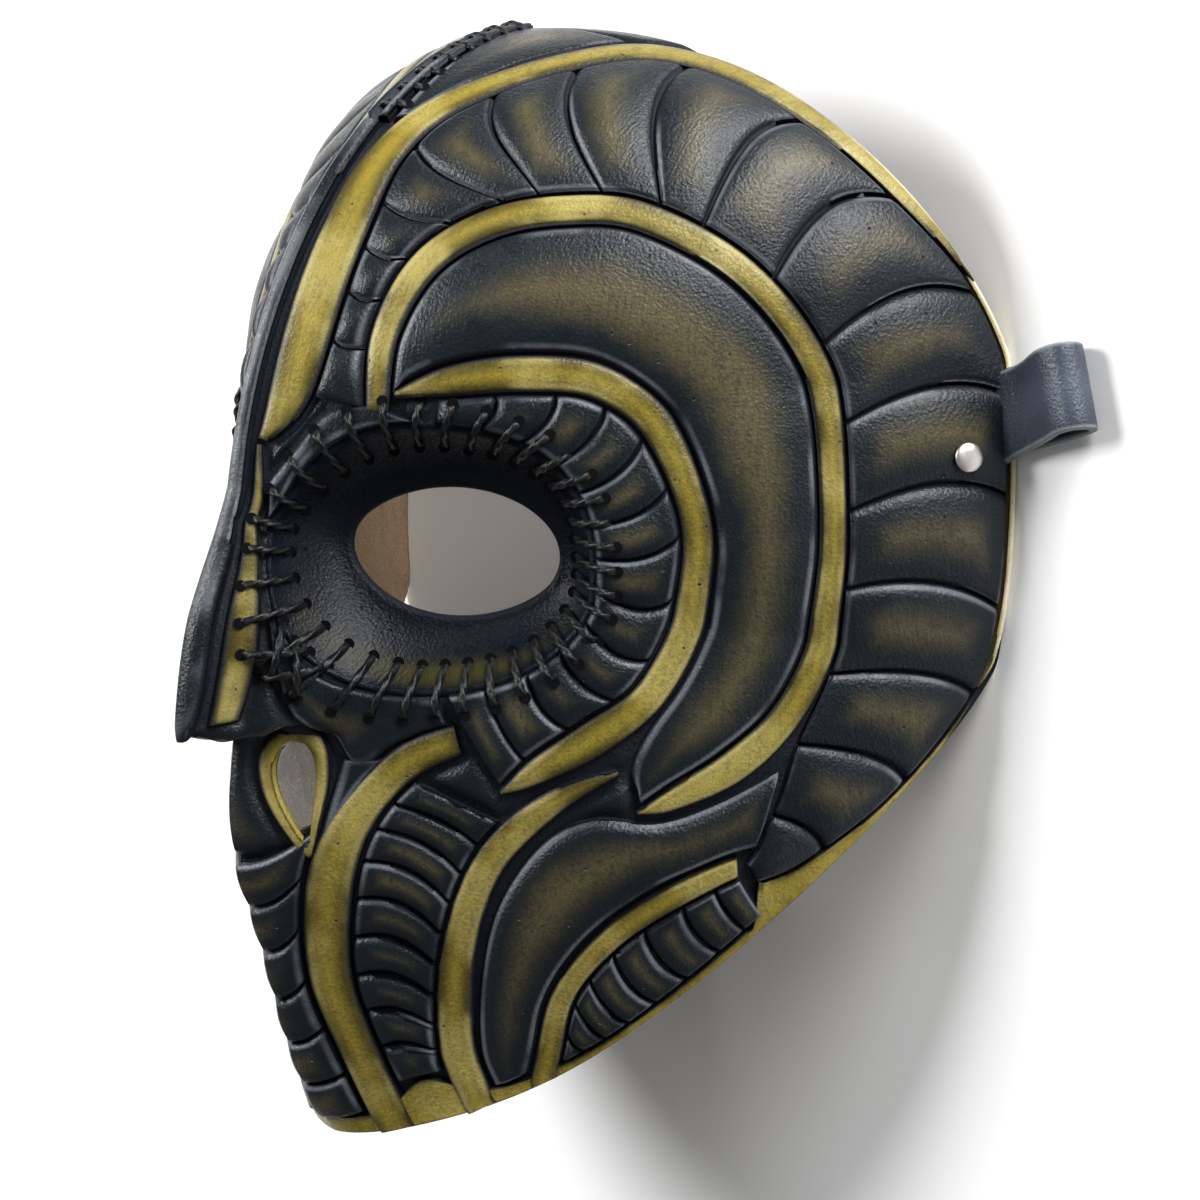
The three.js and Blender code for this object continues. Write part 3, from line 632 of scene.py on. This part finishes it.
# Jaw strips: the same raw edge further down, from beside the horns' tips round to the chin,
# brushed with the gold wax of the bands.
jaw_strip = bmesh.new()
rim_sheet(jaw_strip, jaw_line, 190, narrow_at=0)
both_sides(jaw_strip)
make_piece("jaw_strips", jaw_strip, [gold], "tooled_leather", "mask_shell")

# Fan ribs: short ribs between a band and the line beside it, round the eye seams, over the
# cheeks and along the jaw, cut and bevelled like the horns.


def between(near, far):
    """A point between two lines: t runs along both, side from -1 at the near to 1 at the far."""
    def point(t, side):
        share = (side + 1) / 2
        (a, b), (c, d) = near(t)[:2], far(t)[:2]
        return a + (c - a) * share, b + (d - b) * share

    return point


def reach_of(point):
    """Half the way across between the two lines of such a point, as a function of t."""
    return lambda t: math.dist(point(t, -1), point(t, 1)) / 2


EYE_CUT = 1.015


def eye_line(start, end):
    """The line a cut's width outside the eye's seam, from one angle to another."""
    return lambda t: eye_ring(lerp(start, end, t), EYE_CUT)


FAN_P, FAN_Q, RIM_CUT = -8, 16, 0.006
jaw_side = side_line(jaw_band, 0.2083, 0.83, 1)


def jaw_rim(t):
    """The line along the jaw's rim, each point opposite one beside the jaw's band."""
    p, q, _ = jaw_side(t)
    angle = math.atan2(q - FAN_Q, p - FAN_P)
    return on_pattern(angle, jaw_share(math.degrees(angle)) - RIM_CUT)


orbit_fan = between(eye_line(1.75, -1.6), side_line(orbit_band, 0.07, 0.99, -1))
cheek_fan = between(side_line(cheek_inner, 0.24, 0.82, 1), side_line(cheek_outer, 0.26, 0.715, -1))
jaw_fan = between(jaw_side, jaw_rim)
fans = bmesh.new()
ribs(fans, 12, orbit_fan, 170, reach_of(orbit_fan), lift=1.4, dome=1.0, bow=0.25, columns=18)
ribs(fans, 9, cheek_fan, 105, reach_of(cheek_fan), lift=1.5, dome=1.3, bow=-0.42, columns=22)
ribs(fans, 8, jaw_fan, 90, reach_of(jaw_fan), lift=1.5, dome=1.0, bow=0.22, columns=18)
both_sides(fans)
make_piece("fan_ribs", fans, [blue_black], "tooled_leather", "mask_shell")

# Plain panels: the smooth fields between the bands, left whole and pressed up a little: the
# crescents round the orbits, the cheeks, the forehead, the corners of the eyes and the chin.
END_CROWD, SWELL_WIDTH, NEAR_BEVEL, LENGTH_STEPS = 0.6, 10, 4.5, 20


def panel(mesh, near, far, rows, columns, lift, dome, slope=0.0):
    """A field between two lines; slope is how far its near side falls in a broad bevel."""
    point = between(near, far)
    half = reach_of(point)
    middle = [point(i / LENGTH_STEPS, 0) for i in range(LENGTH_STEPS + 1)]
    length = sum(math.dist(here, there) for here, there in zip(middle, middle[1:]))

    def place(t, side):
        t = crowd(t, END_CROWD)
        p, q = point(t, side)
        edge = min((1 - abs(side)) * half(t), t * length, (1 - t) * length)
        swell = dome * (1 - side * side) * min(1, half(t) / SWELL_WIDTH)
        fall = slope * (1 - smooth((1 + side) * half(t) / NEAR_BEVEL))
        return p, q, standing(lift, shoulder(edge, SIDE_ROUND)) + swell - fall, edge

    sheet(mesh, rows, columns, place)


CRESCENT_P, CRESCENT_Q, CRESCENT_TURN = 84, -66.5, 0.86
orbit_side = side_line(orbit_band, 0.02, 0.84, 1)


def crescent_side(t):
    """The line outside the orbit's band, led to the crescent's tip over its last part."""
    p, q, _ = orbit_side(t)
    share = smooth((t - CRESCENT_TURN) / (1 - CRESCENT_TURN))
    return lerp(p, CRESCENT_P, share), lerp(q, CRESCENT_Q, share)


CHEEK_TOP = line(
    (119.6, -66.4), (104, -73.2), (88, -76), (72, -72), (58, -75), (44, -87), (37.3, -105),
    (36, -125), (39.6, -142.6))
CHEEK_BELOW = line(
    (112.6, -90.2), (106, -90.3), (97, -91.7), (85, -94), (70, -99.3), (59, -106.5), (52.3, -116),
    (49.6, -129), (48.4, -139.6))
FOREHEAD_NEAR = line((3.6, 93), (3.6, 121), (3.6, 148))
FOREHEAD_FAR = line((7.6, 94), (21, 118), (41, 140))
INNER_CORNER = line((22, 26), (14, 23), (9, 15), (5, 8))
LOWER_CORNER = line((41, -46), (34, -46.6), (27, -47.6), (20, -50), (16.4, -44), (11.5, -36))
MOUTH_NEAR = line((16.6, -47), (14.4, -54), (11.4, -63.5))
MOUTH_FAR = line((25.6, -49.4), (19.4, -54), (13.2, -65))
panels = bmesh.new()
panel(panels, side_line(inner_band, 0.02, 0.985, -1), crescent_side, 190, 40, lift=1.5, dome=1.2)
panel(panels, CHEEK_TOP, CHEEK_BELOW, 130, 36, lift=1.7, dome=1.2, slope=1.1)
panel(panels, FOREHEAD_NEAR, FOREHEAD_FAR, 80, 24, lift=1.3, dome=0.6)
panel(panels, eye_line(1.84, 2.95), INNER_CORNER, 60, 14, lift=1.2, dome=0.3)
panel(panels, eye_line(-1.68, -2.8), LOWER_CORNER, 70, 16, lift=1.2, dome=0.3)
panel(panels, MOUTH_NEAR, MOUTH_FAR, 40, 14, lift=1.2, dome=0.2)
both_sides(panels)
make_piece("plain_panels", panels, [blue_black], "tooled_leather", "mask_shell")

# Keel and chin plates: a raised keel from the brow to the tip of the nose, the two lips of the
# dart above it, and six plates stacked down the chin, each with its lower side hanging in a bow.
KEEL = [
    (0, 92, 1.8), (0, 60, 1.7), (0, 30, 1.4), (0, 8, 1.7), (0, -16, 2.6), (0, -27, 2.8),
    (0, -34, 1),
]
DART_LIP, PLATE_BOW, BOW_POWER, BOW_LOSS = 1.8, 7, 1.6, 0.4
keel = bmesh.new()
band(keel, stroke_of(KEEL), 190, lift=2)
for lip in (-DART_LIP, DART_LIP):
    band(keel, stroke_of([(lip, 93, 1.2), (lip, 121, 1.4), (lip, 150, 1.4)]), 60, lift=2.3)
chin_side = side_line(cheek_inner, 0.385, 0.866, -1)


def chin_plate(t, side):
    """A point of the chin, between the bands of both cheeks."""
    p, q, _ = chin_side(t)
    return p * side, q - PLATE_BOW * (1 - abs(side) ** BOW_POWER) * (1 - BOW_LOSS * t)


ribs(keel, 6, chin_plate, 90, lambda t: chin_plate(t, 1)[0], lift=1.5, dome=0.9, columns=30)
closed_up(keel)
make_piece("keel_and_chin_plates", keel, [blue_black], "tooled_leather", "mask_shell")

# Vent frames: a narrow lip left standing round each of the two breathing holes beside the
# nose, rounded on both sides and brushed with gold wax.
FRAME_HALF, FRAME_LIFT, FRAME_ROUND = 1.9, 1.7, 1.4


def vent_place(t, side):
    p, q = vent_ring(t * 2 * math.pi, FRAME_HALF + FRAME_HALF * side)
    height = standing(FRAME_LIFT, shoulder((1 - abs(side)) * FRAME_HALF, FRAME_ROUND))
    return p, q, height, (1 - side) * FRAME_HALF


frames = bmesh.new()
sheet(frames, 72, 10, vent_place)
both_sides(frames)
make_piece("vent_frames", frames, [gold], "tooled_leather", "mask_shell")

# Ground of the shell: the leather left between and under the raised work, 3.2 mm thick, with
# the eye seams, the breathing holes and a notch for the strap cut through it. Its edges are
# skived and waxed pale, or gold at the forehead, and the flesh side within is left brown.
LEATHER, FLOOR_OF_CUT, GROUND_RISE, INNER_NOSE = 3.2, -0.7, 1.9, 6
TURNS, RINGS = 340, 110
CLEAR_FROM, CLEAR_WAY, RAY, CAST = 0.9, 2.6, 8, 8.2
CUT_EDGE, LEAST_EDGE, FLESH_EDGE = 0.2, 0.05, 3
EYE_REACH, VENT_TRIM, VENT_REACH, GOLD_RIM_Q = 1.1, 0.2, 2, 125
NOTCH_X, NOTCH_Y, NOTCH_HIGH, NOTCH_FLAT, NOTCH_HALF, NOTCH_SLOPE = 90, 8, 5.6, 14, 16, 0.5
FACE, FLESH, PALE_EDGE, GOLD_EDGE = range(4)
raised = [piece for piece in bpy.data.objects if piece.name in (
    "horn_ribs", "gold_bands", "rim_strips", "jaw_strips", "fan_ribs", "plain_panels",
    "keel_and_chin_plates", "vent_frames")]
relief = bmesh.new()
for piece in raised:
    relief.from_mesh(piece.data)
relief_surface = BVHTree.FromBMesh(relief)
borders = KDTree(sum(vert.is_boundary for vert in relief.verts))
for vert in relief.verts:
    if vert.is_boundary:
        borders.insert(vert.co, vert.index)
borders.balance()
relief.free()

shell = bmesh.new()
depth_of = shell.verts.layers.float.new("edge")
p_of, q_of = shell.verts.layers.float.new("p"), shell.verts.layers.float.new("q")
bmesh.ops.create_grid(shell, x_segments=TURNS, y_segments=RINGS, size=1)
pattern = {}
for vert in shell.verts:
    pattern[vert] = on_pattern((vert.co.x + 1) * math.pi, (vert.co.y + 1) / 2)


def eye_angle(p, q):
    """The angle of a point round its own side's eye."""
    return math.atan2((q - EYE_Q) / SEAM_Q, (abs(p) - EYE_P) / SEAM_P)


def inside_eye(p, q, scale):
    """Whether a point lies inside an eye's seam, scaled about its middle."""
    ring = eye_ring(eye_angle(p, q), scale)
    return math.hypot(abs(p) - EYE_P, q - EYE_Q) < math.hypot(ring[0] - EYE_P, ring[1] - EYE_Q)


def inside_vent(p, q, grow):
    """Whether a point lies inside a breathing hole, grown by so many mm."""
    s = (q - VENT_Q) / (VENT_HALF_Q + grow)
    if abs(s) >= 1:
        return False
    middle = VENT_P - VENT_SLANT * VENT_HALF_Q * s
    width = (VENT_HALF_P + grow) * (VENT_BROAD + VENT_TAPER * s)
    return abs(abs(p) - middle) < width * math.sqrt(1 - s * s)


def in_opening(p, q):
    return inside_eye(p, q, 1) or inside_vent(p, q, VENT_TRIM)


vent_line = [vent_ring(math.radians(angle), 0) for angle in range(0, 360, 3)]
opened = [face for face in shell.faces if all(in_opening(*pattern[v]) for v in face.verts)]
bmesh.ops.delete(shell, geom=opened, context="FACES")
for vert in [v for v in shell.verts if v.is_boundary]:
    p, q = pattern[vert]
    mirror = math.copysign(1, p)
    if inside_eye(p, q, EYE_REACH):
        ring = eye_ring(eye_angle(p, q), 1)
        pattern[vert] = (mirror * ring[0], ring[1])
    elif inside_vent(p, q, VENT_REACH):
        ring = min(vent_line, key=lambda spot: math.dist(spot, (abs(p), q)))
        pattern[vert] = (mirror * ring[0], ring[1])
for vert in shell.verts:
    p, q = pattern[vert]
    way = outward(p, q)
    vert.co = lifted(p, q, FLOOR_OF_CUT)
    vert[depth_of] = CUT_EDGE
    if relief_surface.ray_cast(vert.co + way * RAY * MM, -way, CAST * MM)[0] is None:
        clear = borders.find(vert.co)[2] / MM
        rise = GROUND_RISE * smooth((clear - CLEAR_FROM) / CLEAR_WAY)
        vert.co = lifted(p, q, FLOOR_OF_CUT + rise)
        vert[depth_of] = max(LEAST_EDGE, clear - CUT)
    vert[p_of], vert[q_of] = p, q
closed_up(shell)
face_side = set(shell.verts)
bmesh.ops.extrude_face_region(shell, geom=shell.faces[:], use_keep_orig=True)
for vert in shell.verts:
    if vert not in face_side:
        p, q = vert[p_of], vert[q_of]
        vert.co = (last(p, q, INNER_NOSE) - outward(p, q, INNER_NOSE) * LEATHER) * MM
        vert[depth_of] = FLESH_EDGE
bmesh.ops.recalc_face_normals(shell, faces=shell.faces)
for face in shell.faces:
    on_face = sum(vert in face_side for vert in face.verts)
    p, q = face.verts[0][p_of], face.verts[0][q_of]
    if on_face == len(face.verts):
        face.material_index = FACE
    elif not on_face:
        face.material_index = FLESH
    elif inside_eye(p, q, EYE_REACH):
        face.material_index = FACE
    elif math.hypot(p, q) > PATTERN_END / 2 and q < GOLD_RIM_Q:
        face.material_index = PALE_EDGE
    else:
        face.material_index = GOLD_EDGE
for vert in shell.verts:
    x, y, z = vert.co / MM
    if x > NOTCH_X and abs(y - NOTCH_Y) < NOTCH_HALF:
        z = max(z, NOTCH_HIGH - NOTCH_SLOPE * max(0, abs(y - NOTCH_Y) - NOTCH_FLAT))
    vert.co = Vector((x, y, max(z, 0))) * MM
for name in ("p", "q"):
    shell.verts.layers.float.remove(shell.verts.layers.float[name])
make_piece("moulded_shell", shell, [blue_black, flesh_side, cream, gold], "tooled_leather",
           "mask_shell")

# Eye sockets: a dished collar of thinner leather in each orbit, wet-formed down to the eye
# opening, blue-black with a rubbed olive rim.
SOCKET, SEAM_GAP, EYE_DEPTH = 2.4, 0.5, 12
OPENING_SHIFT, OPENING_P, OPENING_Q = 2, 23.5, 17
SOCKET_TOP, DISH_POWER, ROLLED, LIP_FALL = 0.7, 1.9, 9, 1.1
OLIVE_ANGLE, OLIVE_REACH, OLIVE_SHARE, OLIVE_WIDTH, OLIVE = 0.2, 0.95, 0.16, 0.2, 6
COLLAR_EDGE, COLLAR_RATE = 2, 12
eye_axis = outward(EYE_P, EYE_Q)


def socket_place(t, side):
    """A place on the collar, from its seam to the eye's opening, and how far its dye has gone."""
    angle, share = t * 2 * math.pi, (side + 1) / 2
    p, q = eye_ring(angle, 1 - SEAM_GAP / SEAM_Q)
    open_p = EYE_P + OPENING_SHIFT + OPENING_P * math.cos(angle)
    open_q = EYE_Q + OPENING_Q * math.sin(angle)
    dish = lerp(SOCKET_TOP, EYE_DEPTH, 1 - (1 - share) ** DISH_POWER)
    depth = dish - SOCKET_TOP * (1 - shoulder(share * ROLLED, 1))
    lip = LIP_FALL * (1 - shoulder((1 - share) * ROLLED, 1))
    place = last(p + (open_p - p) * share, q + (open_q - q) * share) - eye_axis * (depth + lip)
    olive = bell(angle - 1.5 * math.pi + OLIVE_ANGLE, OLIVE_REACH)
    olive *= bell(share - OLIVE_SHARE, OLIVE_WIDTH)
    return place, min(COLLAR_EDGE, min(share, 1 - share) * COLLAR_RATE) + OLIVE * olive


sockets = bmesh.new()
layer = sockets.verts.layers.float.new("edge")
for vert in bmesh.ops.create_grid(sockets, x_segments=144, y_segments=28, size=1)["verts"]:
    t, side = (vert.co.x + 1) / 2, 2 * crowd((vert.co.y + 1) / 2, END_CROWD) - 1
    place, edge = socket_place(t, side)
    vert.co = place * MM
    vert[layer] = edge
bmesh.ops.remove_doubles(sockets, verts=sockets.verts, dist=SEAM)
for face in sockets.faces:
    face.normal_update()
    if face.normal.dot(eye_axis) < 0:
        face.normal_flip()
bmesh.ops.solidify(sockets, geom=sockets.faces, thickness=SOCKET * MM)
mirrored(sockets)
bmesh.ops.recalc_face_normals(sockets, faces=sockets.faces)
socket_dye = tooled_leather(
    "socket_leather", INK, field=(0.0022, 0.0036, 0.007, 1), heart=(0.026, 0.0235, 0.0065, 1),
    heart_at=(2.2, 8.6), rub=(0.1, 0.1, 0.1, 1), highlight_share=0.5, pepper=0.0, shine=0.13)
make_piece("eye_sockets", sockets, [socket_dye], "socket_leather", "eye_socket_left",
           "eye_socket_right")

# Laces: waxed twisted cord. Each eye is whip-stitched to its socket, with two crossed pairs of
# stitches low beside the nose, and the dart in the forehead is drawn together the same way.
skin = bmesh.new()
for piece in [*raised, bpy.data.objects["moulded_shell"], bpy.data.objects["eye_sockets"]]:
    skin.from_mesh(piece.data)
surface = BVHTree.FromBMesh(skin)
skin.free()


def on_surface(p, q):
    """The place and outward direction of the finished leather over a point of the pattern."""
    in_socket = math.hypot((p - EYE_P) / SEAM_P, (q - EYE_Q) / SEAM_Q) < 1
    way = eye_axis if in_socket else outward(p, q)
    start = (last(p, q) + way * FAR_OUT) * MM
    return surface.ray_cast(start, -way)[0], way


FAR_OUT = 14
CORD, CORD_SIDES, CORD_STEPS = 0.85, 15, 26
DIP, LEAN, STRANDS, STRAND_DEPTH, TWIST = 1.2, 2.2, 3, 0.17, 22
HOLE, HOLE_LIFT, HOLE_SHIFT = 1.4, 0.15, 0.5
cords, holes = bmesh.new(), bmesh.new()
crest_highlight_of = cords.verts.layers.float.new("edge")


def stitch(start, end, rise=1.5):
    """One stitch: up out of a hole, over the seam and down into the next."""
    (a, way_a), (b, way_b) = on_surface(*start), on_surface(*end)
    up = (way_a + way_b).normalized()
    along = (b - a).normalized()
    grid = bmesh.ops.create_grid(cords, x_segments=CORD_STEPS, y_segments=CORD_SIDES, size=1)
    halfway, _ = on_surface((start[0] + end[0]) / 2, (start[1] + end[1]) / 2)
    crest = max(0, (halfway - (a + b) / 2).dot(up))
    for vert in grid["verts"]:
        t, turn = (vert.co.x + 1) / 2, (vert.co.y + 1) * math.pi
        arch = 4 * t * (1 - t)
        high = (rise + DIP) * MM * arch ** 0.5 - DIP * MM + crest * arch
        ahead = (along + up * ((0.5 - t) * LEAN)).normalized()
        side = ahead.cross(up).normalized()
        out = side.cross(ahead)
        lobe = 1 + STRAND_DEPTH * math.cos(STRANDS * turn - t * TWIST)
        radial = side * math.cos(turn) + out * math.sin(turn)
        vert.co = a.lerp(b, t) + up * high + radial * CORD * MM * lobe
        # The lobe also colours the cord: a painted highlight on the crest of each strand.
        vert[crest_highlight_of] = lobe
    for place, way, shift in ((a, way_a, -HOLE_SHIFT), (b, way_b, HOLE_SHIFT)):
        middle = place + (way * HOLE_LIFT + along * shift) * MM
        bmesh.ops.create_circle(holes, cap_ends=True, segments=12, radius=HOLE * MM,
                                matrix=facing(middle, way))


STITCHES, STITCH_REACH, NOSE_LOSS, CROSSED_AT = 34, 4.6, 0.4, (-2.62, -2.5)
DART_STITCHES, DART_PITCH = 8, 6.8
for i in range(STITCHES):
    angle = i / STITCHES * 2 * math.pi
    reach = STITCH_REACH * (1 - NOSE_LOSS * bell(abs(angle - math.pi), 0.6)) / SEAM_Q
    stitch(eye_ring(angle - 0.02, 1 + reach), eye_ring(angle + 0.03, 1 - reach))
for turn in CROSSED_AT:
    stitch(eye_ring(turn - 0.05, 1.13), eye_ring(turn + 0.12, 0.97), 2.4)
    stitch(eye_ring(turn + 0.1, 1.12), eye_ring(turn - 0.08, 0.98), 3.2)
mirrored(cords)
mirrored(holes)
for i in range(DART_STITCHES):
    stitch((-4.4, 95 + i * DART_PITCH), (4.4, 97.5 + i * DART_PITCH))
bmesh.ops.remove_doubles(cords, verts=cords.verts, dist=SEAM)
bmesh.ops.recalc_face_normals(cords, faces=cords.faces)
# Cord: its own black, with the heart colour as a painted highlight on the crest of each strand.
black_cord = tooled_leather(
    "black_waxed_cord", INK, field=(0.002, 0.0025, 0.003, 1), heart=(0.013, 0.014, 0.011, 1),
    heart_at=(0.95, 1.17), rub=(0.1, 0.11, 0.09, 1), highlight_share=0.0, pepper=0.3, shine=0.2)
make_piece("seam_laces", cords, [black_cord], "lace_leather", "eye_lace_left", "eye_lace_right",
           "forehead_lace")

# Punched holes: the dark round holes, 2.8 mm across, that the cord goes down into at both ends of
# every stitch, drawn as flat near-black discs on the leather: painted shade in place of the hollow
# of each hole.
bmesh.ops.recalc_face_normals(holes, faces=holes.faces)
hole_shade, _ = blank("painted_hole_shade")
dark = hole_shade.node_tree.nodes["Principled BSDF"]
# Painted shade: the darkness of each hole as a flat near-black colour.
dark.inputs["Base Color"].default_value = (0.003, 0.003, 0.004, 1)
dark.inputs["Roughness"].default_value = 0.9
dark.inputs["Specular IOR Level"].default_value = 0.05
make_piece("punched_holes", holes, [hole_shade], "tooled_leather", smoothed=False)

# Strap: one band of slate-dyed leather, 20 mm wide and 2.2 mm thick, riveted inside both
# cheeks. It comes out under the left rim in a loop and runs back flat across the hollow.
STRAP_WIDTH, STRAP_THICK, STRAP_ROUND, STRAP_STEPS, NEARBY = 20, 2.2, 0.6, 260, 0.002
SQUARE_BEND = math.pi / 2
LOOP_BEND = SQUARE_BEND + 0.32
EASE_BEND = SQUARE_BEND + 0.16
LEFT_BEND, RIGHT_BEND = SQUARE_BEND + 0.09, SQUARE_BEND - 0.09
STRAP_PATH = [
    (99.3, -4, 20.5, LEFT_BEND), (102.1, -0.4, 13.5, LEFT_BEND), (104.2, 2.6, 8, LEFT_BEND),
    (106, 5, 4.7, LEFT_BEND), (110, 7.6, 3.7, SQUARE_BEND), (116, 10, 3.9, SQUARE_BEND),
    (121, 11.9, 5.2, EASE_BEND), (126, 13.7, 7.6, LOOP_BEND), (130.6, 15.3, 9.6, LOOP_BEND),
    (134.6, 16.5, 9.3, LOOP_BEND), (136.6, 16.9, 6, LOOP_BEND), (134.6, 16.2, 2.4, LOOP_BEND),
    (129, 14.6, 1.1, LOOP_BEND), (121, 12.3, 1.1, EASE_BEND), (112, 9.8, 1.1, SQUARE_BEND),
    (90, 4.8, 1.1, SQUARE_BEND), (60, 1, 1.1, SQUARE_BEND), (20, 0, 1.1, SQUARE_BEND),
    (-50, 0, 1.1, SQUARE_BEND), (-90, 0, 1.1, SQUARE_BEND), (-99.4, 0, 1.6, RIGHT_BEND),
    (-103.4, 0, 4.4, RIGHT_BEND), (-104.2, 0, 8, RIGHT_BEND), (-102, 0, 13.5, RIGHT_BEND),
    (-99.2, 0, 20.5, RIGHT_BEND),
]


def strap_at(t):
    """A smooth curve through the path that neither overshoots nor kinks where points crowd."""
    at = min(max(t, 0), 1) * (len(STRAP_PATH) - 1)
    i = min(int(at), len(STRAP_PATH) - 2)
    near, far = Vector(STRAP_PATH[i]), Vector(STRAP_PATH[i + 1])
    before = Vector(STRAP_PATH[i - 1]) if i else near * 2 - far
    after = Vector(STRAP_PATH[i + 2]) if i + 2 < len(STRAP_PATH) else far * 2 - near
    a, b, c = [math.sqrt((v - u).length) for u, v in ((before, near), (near, far), (far, after))]
    leave = (near - before) / a - (far - before) / (a + b) + (far - near) / b
    arrive = (far - near) / b - (after - near) / (b + c) + (after - far) / c
    f = at - i
    return (near * (2 * f ** 3 - 3 * f * f + 1) + far * (3 * f * f - 2 * f ** 3)
            + leave * b * (f ** 3 - 2 * f * f + f) + arrive * b * (f ** 3 - f * f))


strap = bmesh.new()
cut_edge = strap.verts.layers.float.new("edge")
bmesh.ops.create_cube(strap, size=1, matrix=Matrix.Diagonal((1, STRAP_WIDTH, STRAP_THICK, 1)))


def edges_along(axis, least):
    """The strap's edges that reach further than so much along an axis."""
    return [edge for edge in strap.edges
            if abs(edge.verts[0].co[axis] - edge.verts[1].co[axis]) > least]


bmesh.ops.bevel(strap, geom=edges_along(0, 0.5), offset=STRAP_ROUND, affect="EDGES",
                segments=3, profile=0.5, material=-1)
bmesh.ops.subdivide_edges(strap, edges=edges_along(1, STRAP_WIDTH / 2), cuts=5,
                          use_grid_fill=True)
bmesh.ops.subdivide_edges(strap, edges=edges_along(0, 0.5), cuts=STRAP_STEPS, use_grid_fill=True)
for vert in strap.verts:
    t, across, through = vert.co.x + 0.5, vert.co.y, vert.co.z
    point, ahead, behind = strap_at(t), strap_at(t + NEARBY), strap_at(t - NEARBY)
    way = (ahead - behind).to_3d().normalized()
    flat = Vector((math.cos(point.w), math.sin(point.w), 0)).cross(way).normalized()
    place = point.to_3d() + flat.cross(way) * across + flat * through
    place.z = max(place.z, 0)
    vert.co = place * MM
    vert[cut_edge] = STRAP_WIDTH / 2 - abs(across)
bmesh.ops.recalc_face_normals(strap, faces=strap.faces)
slate = tooled_leather(
    "slate_strap_leather", (0.16, 0.18, 0.19, 1), field=(0.034, 0.043, 0.058, 1),
    heart=(0.05, 0.062, 0.082, 1), heart_at=(2, 9), rub=(0.10, 0.12, 0.14, 1), highlight_share=0.3,
    pepper=0.0)
make_piece("strap_band", strap, [slate], "strap_leather", "strap")

# Rivets: nickel-plated caps 6.8 mm across, one low on each cheek, set through the leather and
# the strap's end and closed over a second cap inside.
RIVET_P, RIVET_Q = 161.5, 34
RIVET_CAP, CAP_RIM, RIVET_POST, RIVET_STEPS, CAP_FRONT = 3.4, 3.2, 1.3, 48, 3.1
CAP_BACK = -(LEATHER + STRAP_THICK + 1.8)
rivets = bmesh.new()
profile = [
    (0, CAP_BACK - 1.1), (1.6, CAP_BACK - 1), (2.8, CAP_BACK - 0.7), (3.3, CAP_BACK - 0.35),
    (RIVET_CAP, CAP_BACK - 0.1), (CAP_RIM, CAP_BACK), (RIVET_POST, CAP_BACK),
    (RIVET_POST, CAP_FRONT), (CAP_RIM, CAP_FRONT), (RIVET_CAP, CAP_FRONT + 0.15),
    (3.36, CAP_FRONT + 0.5), (3.1, CAP_FRONT + 0.8), (2.4, CAP_FRONT + 1.05),
    (1.3, CAP_FRONT + 1.17), (0, CAP_FRONT + 1.2),
]
corners = [rivets.verts.new((radius * MM, 0, height * MM)) for radius, height in profile]
rims = [rivets.edges.new(pair) for pair in zip(corners, corners[1:])]
bmesh.ops.spin(rivets, geom=corners + rims, cent=(0, 0, 0), axis=(0, 0, 1), angle=2 * math.pi,
               steps=RIVET_STEPS, use_merge=True)
bmesh.ops.remove_doubles(rivets, verts=rivets.verts, dist=SEAM)
rivet_seat = facing(last(RIVET_P, RIVET_Q) * MM, outward(RIVET_P, RIVET_Q))
bmesh.ops.transform(rivets, verts=rivets.verts, matrix=rivet_seat)
mirrored(rivets)
bmesh.ops.recalc_face_normals(rivets, faces=rivets.faces)
nickel, dye = blank("nickel_plate")
place = dye.make("TexCoord", out="Object")
haze = noise(place, 700, 4)
scratch = noise(dye.make("Mapping", {}, {"Vector": place, "Scale": (300, 5000, 300)}), 1, 2)
finish(haze.tint((0.56, 0.50, 0.48, 1), (0.72, 0.67, 0.65, 1)),
       0.24 + haze * 0.16 + scratch * 0.1, scratch * 0.6 + haze * 0.4,
       depth=0.00004, shine=0.5, metal=1.0)
make_piece("cap_rivets", rivets, [nickel], "nickel", "rivet_left", "rivet_right")
